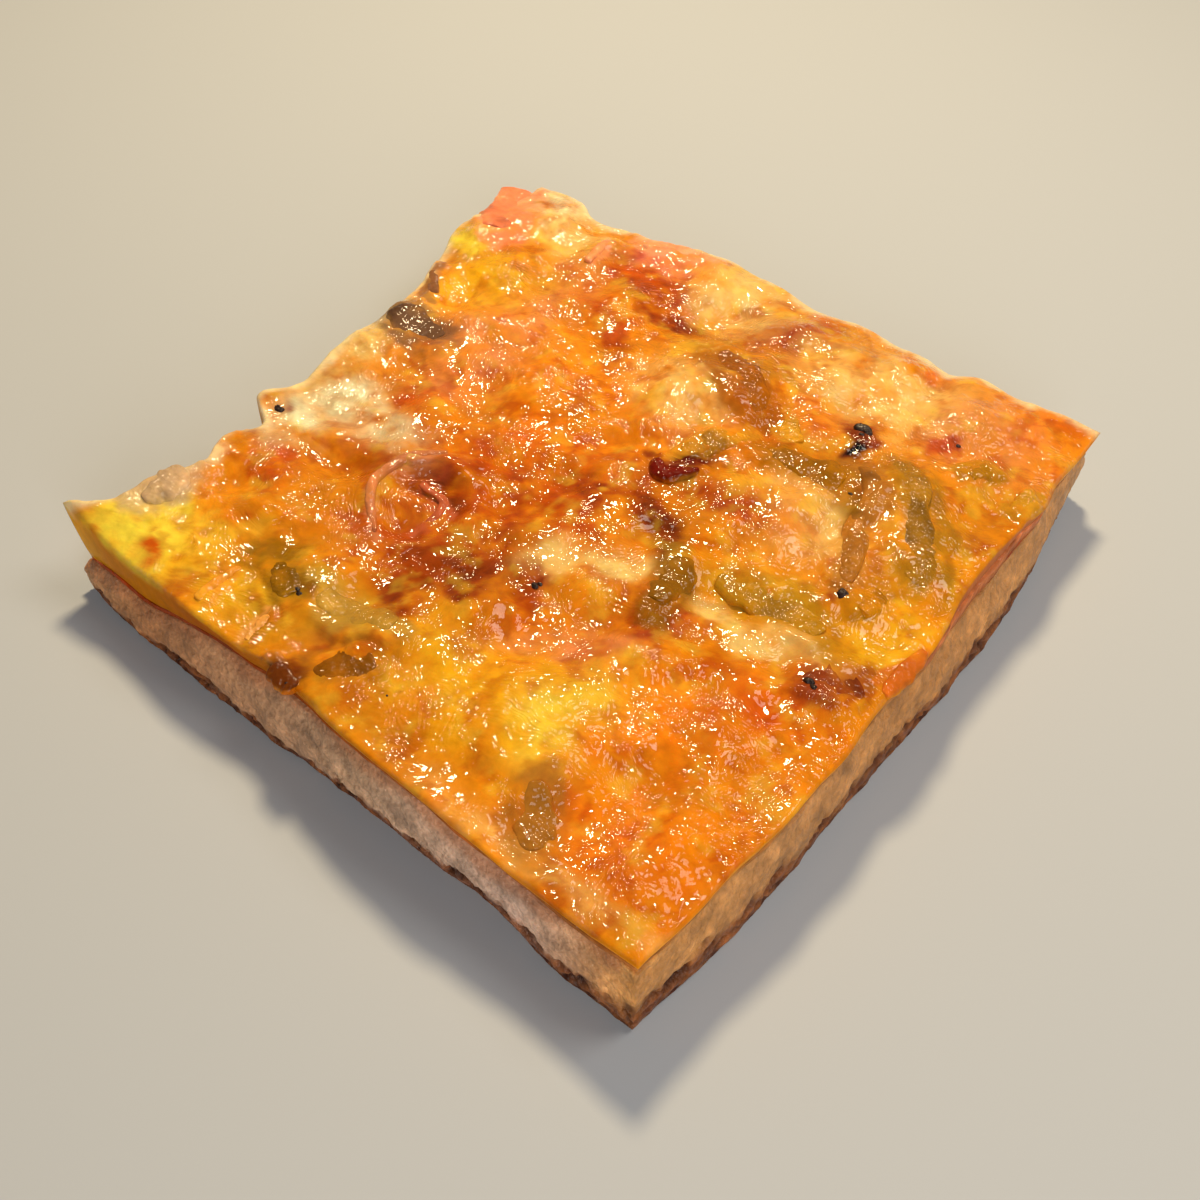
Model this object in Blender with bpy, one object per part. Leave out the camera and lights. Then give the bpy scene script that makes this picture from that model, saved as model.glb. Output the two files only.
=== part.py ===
"""A square-cut slice of thick pan pizza: bread base, tomato layer, browned cheese, ham and vegetables.

X runs along the front cut, Y along the right cut and Z up, and the underside rests on Z = 0.
All sizes are in millimetres and turn into metres where a mesh is made. The slice is a warped
square: a place in it is (u, v), from 0 to 1 along X and along Y.
"""

import bmesh
import bpy
import numpy as np

MM = 0.001
GAP = 0.3
CELLS = 15
FINER = 3
RIM_HEIGHT = 20.0
WIDTH = 134.0

RIM_ROUND = 0.7
SAUCE_THICKNESS = 1.1
SAUCE_SETBACK = 0.4
LAYER_RAISE = 0.08
LAYER_SETBACK = 1.1
BASE_ROWS = (0.0, 0.16, 0.4, 0.64, 0.86)
UNDERSIDE_INSET = 2.6
CRUMB_BULGE = 0.7
CRUMB_ROUGHNESS = 0.45

# The outline of the cheese rim seen from above, side by side, as (x, y).
RIM = {
    "front": ((-67, -65.6), (-50.7, -66.8), (-32.6, -68.3), (-9.6, -68.2), (8, -71.1), (42, -72.9),
              (67.3, -73.8)),
    "back": ((-66, 70), (-62, 71), (-54, 70.8), (-49, 67.6), (-40, 69), (-33, 69.2), (-25, 71.6),
             (-16, 73.2), (-6, 73.4), (1, 73), (10, 71.5), (20, 72.5), (29, 72), (36, 72), (41.5, 70.2),
             (46, 73.2), (56, 72.5), (61, 73), (65, 74.4), (72.8, 74.4)),
    "left": ((-67, -65.6), (-61.5, -61), (-59, -52), (-55.8, -43), (-58.8, -34), (-55.5, -28),
             (-62.6, -23), (-59, -17), (-61.2, -3), (-60.4, 14), (-62.2, 25), (-66, 35),
             (-70.2, 47), (-67, 54), (-66.5, 60), (-66, 70)),
    "right": ((67.3, -73.8), (68, -66.8), (68.8, -60), (69.2, -53), (70.4, -46), (71.2, -40),
              (71.4, -32), (72.1, -24), (71.7, -17), (71.8, -8), (72.9, 2), (72.4, 8), (71.3, 15),
              (71.4, 28), (72.1, 38), (73.4, 47), (72.2, 55), (72.6, 62), (72.8, 74.4)),
}

# The same for the lower edge of the base.
FOOT = {
    "front": ((-63.6, -67.7), (-56, -69.3), (-47, -70.1), (-30, -70.9), (-14, -71.2), (2, -71.7),
              (22, -73), (49, -74.4), (68.2, -75)),
    "back": ((-66, 68), (-30, 68.5), (0, 70.5), (36, 70), (70.9, 74.5)),
    "left": ((-63.6, -67.7), (-61, -45), (-60.6, -5), (-63.5, 30), (-66, 68)),
    "right": ((68.2, -75), (72, -52), (73.6, -22), (75.8, 12), (75.8, 40), (73.3, 58), (70.9, 74.5)),
}

# Height of the cheese along each side, and of the top of the bread base under it, as (place, height).
CHEESE_TOP = {
    "front": ((-66, 19.5), (-60, 18), (-55, 17), (-45, 16.8), (-35, 17.4), (-23, 17.3), (-17, 16.6),
              (-7, 17.2), (2, 18.3), (11, 19.2), (23, 19.4), (30, 18.4), (42, 17.6), (56, 17.4),
              (67, 18.2)),
    "back": ((-66, 19.5), (-30, 19.6), (20, 19.2), (72, 18.2)),
    "left": ((-66, 19.5), (-40, 19.2), (0, 19.4), (40, 19.8), (68, 19.5)),
    "right": ((-74, 18.2), (-60, 17.8), (-40, 18), (-20, 18.2), (0, 18.6), (12, 19.6), (24, 20.2),
              (36, 19.4), (50, 18.4), (73, 18.2)),
}
BASE_TOP = {
    "front": ((-66, 6.2), (-57, 8), (-48, 8.2), (-44, 9), (-37, 11), (-29, 12.6), (-18, 12.8),
              (-8, 13.2), (2, 14), (11, 14.9), (20, 15.4), (30, 14.7), (41, 14), (56, 13.8), (67, 14.4)),
    "back": ((-66, 12.5), (0, 13.5), (72, 12.6)),
    "left": ((-66, 6.2), (-52, 9.4), (-30, 11.5), (0, 12), (68, 12.5)),
    "right": ((-74, 14.4), (-40, 14.2), (-12, 14.2), (6, 13.4), (16, 12.6), (30, 12.4), (48, 13.4),
              (73, 12.6)),
}

# Away from its rim the cheese stands this much higher and the base sinks this much under it.
INNER_RISE = 1.8
INNER_DIP = 1.0
INNER_START = 11.0

# Lift of the base's lower edge, which curls up a little from the tray.
FOOT_LIFT = {
    "front": ((-66, 1.4), (-50, 0.6), (-20, 0.5), (0, 1.2), (10, 3), (20, 3.5), (30, 4), (38, 4.8),
              (44, 4), (49, 2), (54, 1), (67, 0.9)),
    "back": ((-66, 2), (0, 1.2), (72, 1.6)),
    "left": ((-66, 1.4), (-40, 1.2), (68, 2)),
    "right": ((-74, 0.9), (30, 1.3), (73, 1.6)),
}

# Swells and hollows of the melted cheese, as (x, y, radius, height).
SWELLS = (
    (5, 28, 13, 1.5), (-48, -60, 13, 0.8), (34, -50, 9, 1.1), (-36, 28, 15, 1.2), (-51, 38, 10, 1.5),
    (30, 56, 14, 0.9), (-28, -48, 8, -0.9), (46, 12, 7, -0.6), (12, -12, 9, -0.8), (24, -33, 8, -0.7),
    (-8, 47, 10, -0.8), (-45, -16, 10, 0.8), (55, -40, 12, 0.7), (-40, 56, 8, 0.8),
)
# A sunken ring left by an onion slice: centre, radius, width and height of its lip.
ONION_DIP = (-16, -26, 9.5, 2.6, 1.1)

WAVES = 16
WAVE_SEED = 5
WAVE_LENGTHS = (10, 42)
WAVE_HEIGHT = 0.42

# The ham slice that shows in the right cut: its ends along Y, how far it reaches in, its thickness.
HAM_ENDS = (-2, 50)
HAM_REACH = 20
HAM_THICKNESS = 3.6

# Pieces held in the cheese: name, kind, thickness, height above the cheese, (x, y, width) along it.
TOPPINGS = (
    ("pepper_broad", "pepper", 2.4, 1.2, ((3, 41.5, 5), (11, 37.5, 9), (19.5, 32.5, 6))),
    ("pepper_upright", "pepper", 2.4, 1.2, ((14, 12.8, 4), (17, 19, 5), (20.5, 26, 4))),
    ("pepper_short", "pepper", 2.4, 1.2, ((24.5, 34.5, 3.5), (26.5, 31, 4), (29.3, 29.2, 3))),
    ("pepper_wide", "pepper", 2.4, 1.2, ((26.5, 22.5, 4), (35, 23.8, 7), (41.8, 24, 7.5))),
    ("pepper_long", "pepper", 2.4, 1.2,
     ((45.5, 36, 4), (51, 33.5, 5.5), (55.5, 26, 6), (60.5, 19.5, 6.5), (65, 12, 5))),
    ("pepper_thin", "pepper", 2.4, 1.2,
     ((42.5, 31, 3), (47.3, 26, 3.5), (49, 18, 4), (52, 10, 4), (54, 4.5, 3))),
    ("pepper_dark", "pepper", 2.4, 1.2, ((27.5, -7.5, 4.5), (30.5, -13, 6.5), (30.5, -20, 4))),
    ("pepper_level", "pepper", 2.4, 1.2, ((36, -8, 5), (42, -6.2, 7), (50, -6, 7), (56.5, -8.5, 5))),
    ("pepper_bit", "pepper", 2.4, 1.2, ((59, 0.5, 4), (60, 7, 4))),
    ("pepper_far_bit", "pepper", 2.4, 1.2, ((58.5, 42.5, 4), (61.5, 46.5, 4))),
    ("pepper_side_bit", "pepper", 2.2, 1.3, ((69.3, 41, 3), (69.8, 47, 3))),
    ("pepper_pale", "pepper", 2.4, 1.2, ((-15, -52.8, 4.5), (-8.3, -52.6, 6.5), (0.5, -51, 4.5))),
    ("pepper_deep", "pepper", 2.4, 1.2, ((-30, -49.5, 4), (-24, -52, 6), (-18.5, -55.5, 4.5))),
    ("pepper_browned", "browned", 2.2, 1.3, ((-4.2, -65.3, 3.5), (-0.9, -62.6, 7), (2.2, -57.6, 5))),
    ("pepper_front", "pepper", 2.2, 1.3, ((38, -60, 4), (41, -64, 6), (44.5, -67.8, 5))),
    ("pepper_curl", "browned", 2.4, 1.2, ((11, 8, 2.4), (14, 6.2, 3), (19.5, 10.5, 2.4))),
    ("browned_scrap", "browned", 2.6, 1.6, ((59.5, -18, 4.5), (64, -15.8, 7.5), (67, -12, 5))),
    ("browned_knob", "browned", 2.2, 1.3, ((-11, -68, 2.6), (-8, -68.6, 3.6), (-5, -68.6, 2.6))),
    ("ham_scrap", "ham", 2, 1.4, ((71, -11, 2), (71.4, -5, 3), (72, 1, 2.2))),
    ("ham_corner", "ham", 3, 2, ((-61.2, 47, 6.5), (-64.8, 55, 8.5), (-69.3, 66, 8))),
    ("ham_back", "ham", 2.4, 1.1, ((-34, 66.5, 4), (-27, 67.2, 6), (-20, 68.6, 4))),
    ("mushroom_back", "mushroom", 2.8, 1.2, ((-59, 12.8, 5.5), (-52, 11.8, 8), (-45.5, 10.4, 6.5))),
    ("mushroom_thin", "mushroom", 2.8, 1.2, ((-61.5, 28, 2.6), (-56.5, 21.8, 2.6))),
    ("mushroom_left", "mushroom", 2.8, 1.2, ((-56, -46.5, 5), (-55.5, -51.5, 7.5), (-56.5, -56.5, 4))),
    ("onion_ring", "onion", 1.9, 0.8,
     ((-20.5, -14, 2), (-25, -20, 2.2), (-26, -25, 2.4), (-24, -31, 2.2), (-18.5, -36, 2))),
    ("onion_inner", "onion", 1.6, 0.8, ((-20, -22, 1.8), (-14, -22.5, 2), (-12.5, -30, 1.8))),
    ("onion_far", "onion", 1.9, 0.8, ((-38.5, 60, 2), (-37, 50, 2))),
    ("onion_near", "onion", 1.6, 0.8, ((-31, -56.5, 1.8), (-31.5, -66, 1.8))),
    ("onion_front", "onion", 1.6, 0.8, ((-19.5, -61, 1.8), (-18.5, -66.5, 1.8))),
)
SECTION_POINTS = 6
STRIP_STEP = 8.0
STRIP_END = 0.55
STRIP_SQUARENESS = 3

# Large pores that show in the cut crumb: (x, y, z, radius along the face, radius up, depth).
PORES = (
    (69.4, -66, 5, 2.8, 2, 2.4), (72.4, -43, 6.6, 1.8, 1.1, 1.6), (73.6, -28.5, 6, 3, 1.1, 1.8),
    (74.6, -8, 5.5, 2.4, 1, 1.5), (-39, -71, 2.8, 1.8, 1, 1.4), (-28, -71.4, 3.2, 2, 1, 1.4),
    (5.5, -72.4, 5.6, 1.9, 1.1, 1.5), (58, -74.8, 3.8, 1.7, 1, 1.5), (-62, 10, 6, 2, 1.2, 1.6),
)

# Colour, roughness.
FINISHES = {
    "crumb": ((0.52, 0.33, 0.15), 0.8),
    "sauce": ((0.42, 0.06, 0.01), 0.4),
    "cheese": ((0.85, 0.36, 0.04), 0.3),
    "ham": ((0.75, 0.22, 0.12), 0.4),
    "pepper": ((0.22, 0.19, 0.02), 0.3),
    "browned": ((0.2, 0.035, 0.015), 0.4),
    "mushroom": ((0.07, 0.045, 0.03), 0.45),
    "onion": ((0.6, 0.35, 0.4), 0.3),
}


def smooth(points, at):
    """Value at a place on the smooth curve through (place, value) pairs: a cubic with even slopes."""
    places, values = np.array(points, float).T
    slopes = np.gradient(values, places)
    i = np.clip(np.searchsorted(places, at) - 1, 0, len(places) - 2)
    step = places[i + 1] - places[i]
    t = np.clip((at - places[i]) / step, 0, 1)
    start = (1 + 2 * t) * (1 - t) ** 2 * values[i] + t * (1 - t) ** 2 * step * slopes[i]
    end = t * t * (3 - 2 * t) * values[i + 1] - t * t * (1 - t) * step * slopes[i + 1]
    return start + end


def side_place(outline, side, share):
    """Point (x, y) at a share of the way along one side of an outline."""
    points = np.array(outline[side], float)
    main = 0 if side in ("front", "back") else 1
    along = points[0, main] + share * (points[-1, main] - points[0, main])
    across = smooth(points[:, [main, 1 - main]], along)
    return np.stack((along, across) if main == 0 else (across, along), -1)


def blend_sides(front, back, left, right, u, v):
    """Spread four sides' values over the square, less the straight blend of the corners."""
    corners = ((1 - u) * (1 - v) * front(0 * u) + u * (1 - v) * front(0 * u + 1)
               + (1 - u) * v * back(0 * u) + u * v * back(0 * u + 1))
    return (1 - v) * front(u) + v * back(u) + (1 - u) * left(v) + u * right(v) - corners


def plan(u, v, level):
    """Plan point of (u, v): level 0 has the underside's outline and level 1 the cheese rim's."""
    u, v, level = (np.asarray(value, float)[..., None] for value in (u, v, level))

    def side(name):
        return lambda share: ((1 - level) * side_place(FOOT, name, share[..., 0])
                              + level * side_place(RIM, name, share[..., 0]))

    return blend_sides(side("front"), side("back"), side("left"), side("right"), u, v)


def side_heights(table, u, v):
    """Height at (u, v) spread from the heights named along the four sides."""
    x_at = {side: [point[0] for point in RIM[side]] for side in ("front", "back")}
    y_at = {side: [point[1] for point in RIM[side]] for side in ("left", "right")}

    def along(side):
        ends = x_at[side] if side in x_at else y_at[side]
        return lambda share: smooth(table[side], ends[0] + share * (ends[-1] - ends[0]))

    return blend_sides(along("front"), along("back"), along("left"), along("right"), u, v)


def wave_table():
    """Directions, lengths and phases of the waves that make the cheese uneven."""
    draw = np.random.default_rng(WAVE_SEED)
    length = np.geomspace(*WAVE_LENGTHS, WAVES)
    turn = draw.uniform(0, 2 * np.pi, WAVES)
    phase = draw.uniform(0, 2 * np.pi, WAVES)
    return np.cos(turn) / length, np.sin(turn) / length, phase, (length / WAVE_LENGTHS[1]) ** 0.6


def cheese_relief(x, y):
    """Melted cheese: named swells and hollows, the lip round the onion dip, and soft waves."""
    height = sum(rise * np.exp(-((x - cx) ** 2 + (y - cy) ** 2) / (0.7 * radius) ** 2)
                 for cx, cy, radius, rise in SWELLS)
    cx, cy, radius, width, lip = ONION_DIP
    off_ring = (np.hypot(x - cx, y - cy) - radius) / width
    height = height + lip * np.exp(-off_ring ** 2) - 0.7 * lip * (off_ring < 0) * (1 - np.exp(-off_ring ** 2))
    for across, along, phase, share in zip(*wave_table()):
        height = height + WAVE_HEIGHT * share * np.sin(2 * np.pi * (x * across + y * along) + phase)
    return height


def rim_share(x, y):
    """(u, v) of a plan point, read off the rim's four sides."""
    left, right = (smooth([(b, a) for a, b in RIM[side]], y) for side in ("left", "right"))
    front, back = (smooth(RIM[side], x) for side in ("front", "back"))
    return np.clip((x - left) / (right - left), 0, 1), np.clip((y - front) / (back - front), 0, 1)


def inwardness(u, v):
    """0 on the outline, rising to 1 a little way in."""
    nearest = np.minimum(np.minimum(u, 1 - u), np.minimum(v, 1 - v))
    return np.clip(nearest * WIDTH / INNER_START, 0, 1)


def cheese_height(x, y):
    """Height of the cheese over a plan point, its relief fading towards the rim."""
    u, v = rim_share(x, y)
    inward = inwardness(u, v)
    relief = (0.35 + 0.65 * inward) * cheese_relief(x, y)
    return side_heights(CHEESE_TOP, u, v) + INNER_RISE * inward + relief


def grid(cells, inset=0.0):
    """Arrays u and v of a square grid, drawn in from the outline by a share of its width."""
    steps = inset + (1 - 2 * inset) * np.arange(cells + 1) / cells
    return np.meshgrid(steps, steps, indexing="ij")


def layer_points(height, inset=0.0):
    """Grid of points at a height worked out from (u, v), on the outline where the layers meet."""
    u, v = grid(CELLS)
    level = side_heights(BASE_TOP, u, v) / RIM_HEIGHT + LAYER_RAISE
    return np.dstack((plan(*grid(CELLS, (LAYER_SETBACK + inset) / WIDTH), level), height(u, v)))


def base_height(u, v):
    return side_heights(BASE_TOP, u, v) - INNER_DIP * inwardness(u, v)


def sauce_low(u, v):
    return base_height(u, v) + GAP


def sauce_high(u, v):
    return sauce_low(u, v) + SAUCE_THICKNESS


def ham_share(u, v):
    """How thick the ham is at (u, v), from 0 outside it to 1 in the right cut."""
    y = RIM["right"][0][1] + v * (RIM["right"][-1][1] - RIM["right"][0][1])
    middle = (HAM_ENDS[0] + HAM_ENDS[1]) / 2
    lengthwise = 1 - ((y - middle) / (HAM_ENDS[1] - middle)) ** 2
    inwards = 1 - (1 - u) * (RIM["right"][-1][0] - RIM["left"][0][0]) / HAM_REACH
    return np.sqrt(np.clip(lengthwise, 0, 1)) * np.clip(1.6 * inwards, 0, 1)


def ham_low(u, v):
    return sauce_high(u, v) + GAP


def ham_high(u, v):
    return ham_low(u, v) + 0.5 + (HAM_THICKNESS - 0.5) * ham_share(u, v)


def ham_cells():
    """Marks the grid cells that the ham covers, out to where it thins to its edge."""
    inside = ham_share(*grid(CELLS)) > 0
    return inside[:-1, :-1] | inside[1:, :-1] | inside[:-1, 1:] | inside[1:, 1:]


def cheese_low(u, v):
    """Underside of the cheese, which lifts over the ham."""
    cells = ham_cells()
    over_ham = np.zeros((CELLS + 1, CELLS + 1), bool)
    for i, j in ((0, 0), (1, 0), (0, 1), (1, 1)):
        over_ham[i:CELLS + i, j:CELLS + j] |= cells
    return np.where(over_ham, ham_high(u, v), sauce_high(u, v)) + GAP


def crumb(x, y, z):
    """Torn surface of the cut crumb, in or out of its plane."""
    rough = (np.sin(0.93 * x + 0.71 * y + 1.3 * z) + np.sin(1.7 * y - 1.1 * x + 0.8 * z + 2)
             + np.sin(2.3 * z + 0.5 * x - 0.4 * y))
    return CRUMB_ROUGHNESS * rough / 2


def ring_places(cells):
    """(u, v) round the edge of a grid, anticlockwise from the front left corner."""
    step = np.arange(cells) / cells
    zero, one = np.zeros(cells), np.ones(cells)
    return (np.concatenate((step, one, 1 - step, zero)), np.concatenate((zero, step, one, 1 - step)))


def ring_numbers(cells):
    """Numbers of the edge points of a grid stored row by row along v, in the same order."""
    step = np.arange(cells)
    zero, last = 0 * step, 0 * step + cells
    i = np.concatenate((step, last, cells - step, zero))
    j = np.concatenate((zero, step, last, cells - step))
    return i * (cells + 1) + j


def grid_faces(cells, first=0, marked=None):
    """Two triangles for each cell, always split the same way, facing up."""
    faces = []
    for i in range(cells):
        for j in range(cells):
            if marked is not None and not marked[i, j]:
                continue
            a = first + i * (cells + 1) + j
            b = a + cells + 1
            faces += [(a, b, b + 1), (a, b + 1, a + 1)]
    return faces


def band_faces(lower, upper):
    """Wall between two closed rings, where one may have several times the other's points."""
    count = min(len(lower), len(upper))
    low_step, high_step = len(lower) // count, len(upper) // count
    half = low_step // 2
    faces = []
    for k in range(count):
        low = [lower[(k * low_step + m) % len(lower)] for m in range(low_step + 1)]
        high = [upper[(k * high_step + m) % len(upper)] for m in range(high_step + 1)]
        faces += [(low[m], low[m + 1], high[0 if m < half else -1]) for m in range(low_step)]
        faces += [(low[half], high[m + 1], high[m]) for m in range(high_step)]
    return faces


def material(kind):
    made = bpy.data.materials.get(kind)
    if made:
        return made
    colour, roughness = FINISHES[kind]
    made = bpy.data.materials.new(kind)
    made.use_nodes = True
    shader = made.node_tree.nodes["Principled BSDF"]
    shader.inputs["Base Color"].default_value = (*colour, 1)
    shader.inputs["Roughness"].default_value = roughness
    made.diffuse_color = (*colour, 1)
    return made


def solid(name, kind, points, faces):
    """Object from points in millimetres and faces, with unused points dropped and faces out."""
    shape = bmesh.new()
    corners = [shape.verts.new(np.asarray(point) * MM) for point in points]
    for face in faces:
        shape.faces.new([corners[number] for number in face])
    loose = [corner for corner in shape.verts if not corner.link_faces]
    bmesh.ops.delete(shape, geom=loose, context="VERTS")
    bmesh.ops.recalc_face_normals(shape, faces=shape.faces)
    mesh = bpy.data.meshes.new(name)
    shape.to_mesh(mesh)
    shape.free()
    made = bpy.data.objects.new(name, mesh)
    bpy.context.scene.collection.objects.link(made)
    if kind:
        mesh.materials.append(material(kind))
        mesh.shade_smooth()
    return made


def thin_layer(name, kind, low, high, cells, inset=0.0):
    """Closed layer between two heights over the marked cells of the grid."""
    under, over = (layer_points(height, inset).reshape(-1, 3) for height in (low, high))
    top = grid_faces(CELLS, len(under), cells)
    bottom = [tuple(number - len(under) for number in reversed(face)) for face in top]
    edges = {(face[k - 1], face[k]) for face in top for k in range(3)}
    walls = []
    for a, b in sorted(edges):
        if (b, a) not in edges:
            walls += [(a - len(under), b - len(under), b), (a - len(under), b, a)]
    return solid(name, kind, np.vstack((under, over)), top + bottom + walls)


def make_base():
    """Bread base: torn walls between a flat underside and the warped top."""
    top = layer_points(base_height)
    u, v = ring_places(CELLS * FINER)
    high = base_height(u, v)
    lift = side_heights(FOOT_LIFT, u, v)
    rings = [np.column_stack((plan(u, v, 0) * (1 - 2 * UNDERSIDE_INSET / WIDTH), 0 * u))]
    for share in BASE_ROWS:
        z = lift + share * (high - lift)
        place = plan(u, v, share * high / RIM_HEIGHT)
        out = place / np.linalg.norm(place, axis=1, keepdims=True)
        swell = 4 * CRUMB_BULGE * share * (1 - share) - LAYER_SETBACK * share ** 3
        swell = swell + crumb(place[:, 0], place[:, 1], z)
        rings.append(np.column_stack((place + out * swell[:, None], z)))
    points = np.vstack([top.reshape(-1, 3)] + rings)
    faces = grid_faces(CELLS)
    first = len(top) ** 2
    numbers = [first + k * len(u) + np.arange(len(u)) for k in range(len(rings))]
    faces.append(tuple(numbers[0][::-1]))
    for lower, upper in zip(numbers, numbers[1:]):
        faces += band_faces(lower, upper)
    faces += band_faces(numbers[-1], ring_numbers(CELLS))
    base = solid("bread_base", "crumb", points, faces)
    cut_out(base, [pore(number, *sizes) for number, sizes in enumerate(PORES)], "pores")
    return base


def make_cheese():
    """Cheese: a fine wavy top, a rounded rim and an underside that fits the layers below."""
    fine = CELLS * FINER
    u, v = grid(fine, RIM_ROUND / WIDTH)
    place = plan(u, v, 1)
    top = np.dstack((place, cheese_height(place[..., 0], place[..., 1]))).reshape(-1, 3)
    low = layer_points(cheese_low).reshape(-1, 3)
    u, v = ring_places(fine)
    place = plan(u, v, 1)
    rim = np.column_stack((place, cheese_height(place[:, 0], place[:, 1]) - 1.1 * RIM_ROUND))
    low_first, rim_first = len(top), len(top) + len(low)
    rim_numbers = rim_first + np.arange(len(rim))
    faces = grid_faces(fine) + [face[::-1] for face in grid_faces(CELLS, low_first)]
    faces += band_faces(rim_numbers, ring_numbers(fine))
    faces += band_faces(low_first + ring_numbers(CELLS), rim_numbers)
    return solid("cheese", "cheese", np.vstack((top, low, rim)), faces)


def strip_points(thickness, proud, path, grow=0.0):
    """Rings of points along a flat strip that follows the cheese, with a blunt round end each way."""
    path = np.array(path, float)
    run = np.concatenate(((0,), np.cumsum(np.hypot(*np.diff(path[:, :2], axis=0).T))))
    count = max(3, int(round(run[-1] / STRIP_STEP)) + 2)
    share = (1 - np.cos(np.pi * np.arange(count + 1) / count)) / 2
    x, y, width = (smooth(np.column_stack((run, path[:, k])), share * run[-1]) for k in range(3))
    ahead = np.column_stack((np.gradient(x, share), np.gradient(y, share)))
    ahead /= np.linalg.norm(ahead, axis=1, keepdims=True)
    z = cheese_height(x, y) + proud - thickness / 2
    x[[0, -1]] += (-grow, grow) * ahead[[0, -1], 0]
    y[[0, -1]] += (-grow, grow) * ahead[[0, -1], 1]
    narrow = (1 - np.abs(2 * share - 1) ** STRIP_SQUARENESS) ** (1 / STRIP_SQUARENESS)
    narrow = np.maximum(narrow, STRIP_END)
    half_width = width * narrow / 2 + grow
    half_height = thickness * np.sqrt(narrow) / 2 + grow
    turns = 2 * np.pi * (np.arange(SECTION_POINTS) + 0.5) / SECTION_POINTS
    across = np.cos(turns) / np.cos(turns).max() * half_width[:, None]
    up = np.sin(turns) / np.sin(turns).max() * half_height[:, None]
    return np.stack((x[:, None] - ahead[:, 1:] * across, y[:, None] + ahead[:, :1] * across,
                     z[:, None] + up), -1)


def strip(name, kind, thickness, proud, path, grow=0.0):
    rings = strip_points(thickness, proud, path, grow)
    count, around = rings.shape[:2]
    numbers = np.arange(count * around).reshape(count, around)
    faces = [tuple(numbers[0]), tuple(numbers[-1][::-1])]
    for lower, upper in zip(numbers, numbers[1:]):
        faces += band_faces(lower, upper)
    return solid(name, kind, rings.reshape(-1, 3), faces)


def pore(number, x, y, z, along, up, depth):
    """Egg-shaped cutter for one pore, lying on the nearer cut face."""
    shape = bmesh.new()
    bmesh.ops.create_icosphere(shape, subdivisions=1, radius=1)
    on_right = abs(x) > abs(y)
    sizes = (depth, along, up) if on_right else (along, depth, up)
    for corner in shape.verts:
        corner.co = [(at + size * value) * MM for at, size, value in zip((x, y, z), sizes, corner.co)]
    mesh = bpy.data.meshes.new(f"pore_{number}")
    shape.to_mesh(mesh)
    shape.free()
    made = bpy.data.objects.new(f"pore_{number}", mesh)
    bpy.context.scene.collection.objects.link(made)
    return made


def cut_out(target, cutters, label):
    """Take a set of hidden cutters away from an object in one Boolean."""
    group = bpy.data.collections.new(label)
    for cutter in cutters:
        cutter.hide_render = True
        cutter.display_type = "WIRE"
        group.objects.link(cutter)
    cut = target.modifiers.new(label, "BOOLEAN")
    cut.operation = "DIFFERENCE"
    cut.operand_type = "COLLECTION"
    cut.collection = group
    cut.solver = "EXACT"


def make_toppings(cheese):
    """Each piece sunk in the cheese, which is hollowed under it by the same piece grown by the gap."""
    seats = []
    for name, kind, thickness, proud, path in TOPPINGS:
        strip(name, kind, thickness, proud, path)
        seats.append(strip(f"{name}_seat", None, thickness, proud, path, GAP))
    cut_out(cheese, seats, "seats")


def clear_scene():
    for item in list(bpy.data.objects):
        bpy.data.objects.remove(item, do_unlink=True)


def make_slice():
    clear_scene()
    make_base()
    everywhere = np.ones((CELLS, CELLS), bool)
    thin_layer("tomato_sauce", "sauce", sauce_low, sauce_high, everywhere, SAUCE_SETBACK)
    thin_layer("ham_slice", "ham", ham_low, ham_high, ham_cells())
    make_toppings(make_cheese())


make_slice()
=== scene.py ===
"""Looks of a square-cut slice of thick tray pizza: torn crumb, tomato, browned cheese and toppings.

X runs along the front cut, Y along the right cut and Z up. Sizes are in millimetres and turn into
metres where a mesh is made. A place in the warped square is (u, v), from 0 to 1 along X and Y.
"""

import bpy
import numpy as np
from mathutils import Matrix, Vector


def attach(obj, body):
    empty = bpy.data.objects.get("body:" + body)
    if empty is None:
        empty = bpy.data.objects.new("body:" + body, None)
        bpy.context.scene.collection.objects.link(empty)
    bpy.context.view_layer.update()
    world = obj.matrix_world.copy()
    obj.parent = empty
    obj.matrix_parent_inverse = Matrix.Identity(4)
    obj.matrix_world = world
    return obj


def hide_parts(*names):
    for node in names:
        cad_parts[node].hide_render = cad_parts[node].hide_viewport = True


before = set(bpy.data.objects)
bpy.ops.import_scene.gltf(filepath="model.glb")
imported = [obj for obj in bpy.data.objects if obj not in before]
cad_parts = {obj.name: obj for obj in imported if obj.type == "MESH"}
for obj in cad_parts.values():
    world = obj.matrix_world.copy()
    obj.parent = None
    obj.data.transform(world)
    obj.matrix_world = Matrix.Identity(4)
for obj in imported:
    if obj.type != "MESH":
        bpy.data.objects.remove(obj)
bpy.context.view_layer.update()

MM = 0.001

# Camera, solved from the slice's corners: place, aim and turn about its own axis, and lens.
CAMERA_AT = (107.35, -143.9, 186.0)
CAMERA_HEADING = 35.18
CAMERA_PITCH = 48.7
CAMERA_ROLL = 2.7
CAMERA_LENS = 39.0
SENSOR_WIDTH = 36.0

# Lamps: name, place, breadth, watts and tint. All point at LAMP_AIM.
LAMPS = (
    ("ceiling_lamp", (-228, 304, 574), 110, 4.3, "#FFE4B2"),
    ("soft_top", (260, 240, 560), 300, 1.3, "#FFF4E2"),
    ("front_fill", (420, -380, 240), 420, 1.7, "#FFF8EE"),
)
LAMP_AIM = (0, 0, 10)
FLOOR_HALF = 3000.0
FLOOR_COLOUR = "#BCC2CC"
WORLD_COLOUR = "#F4F2EE"
WORLD_STRENGTH = 0.1

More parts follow.
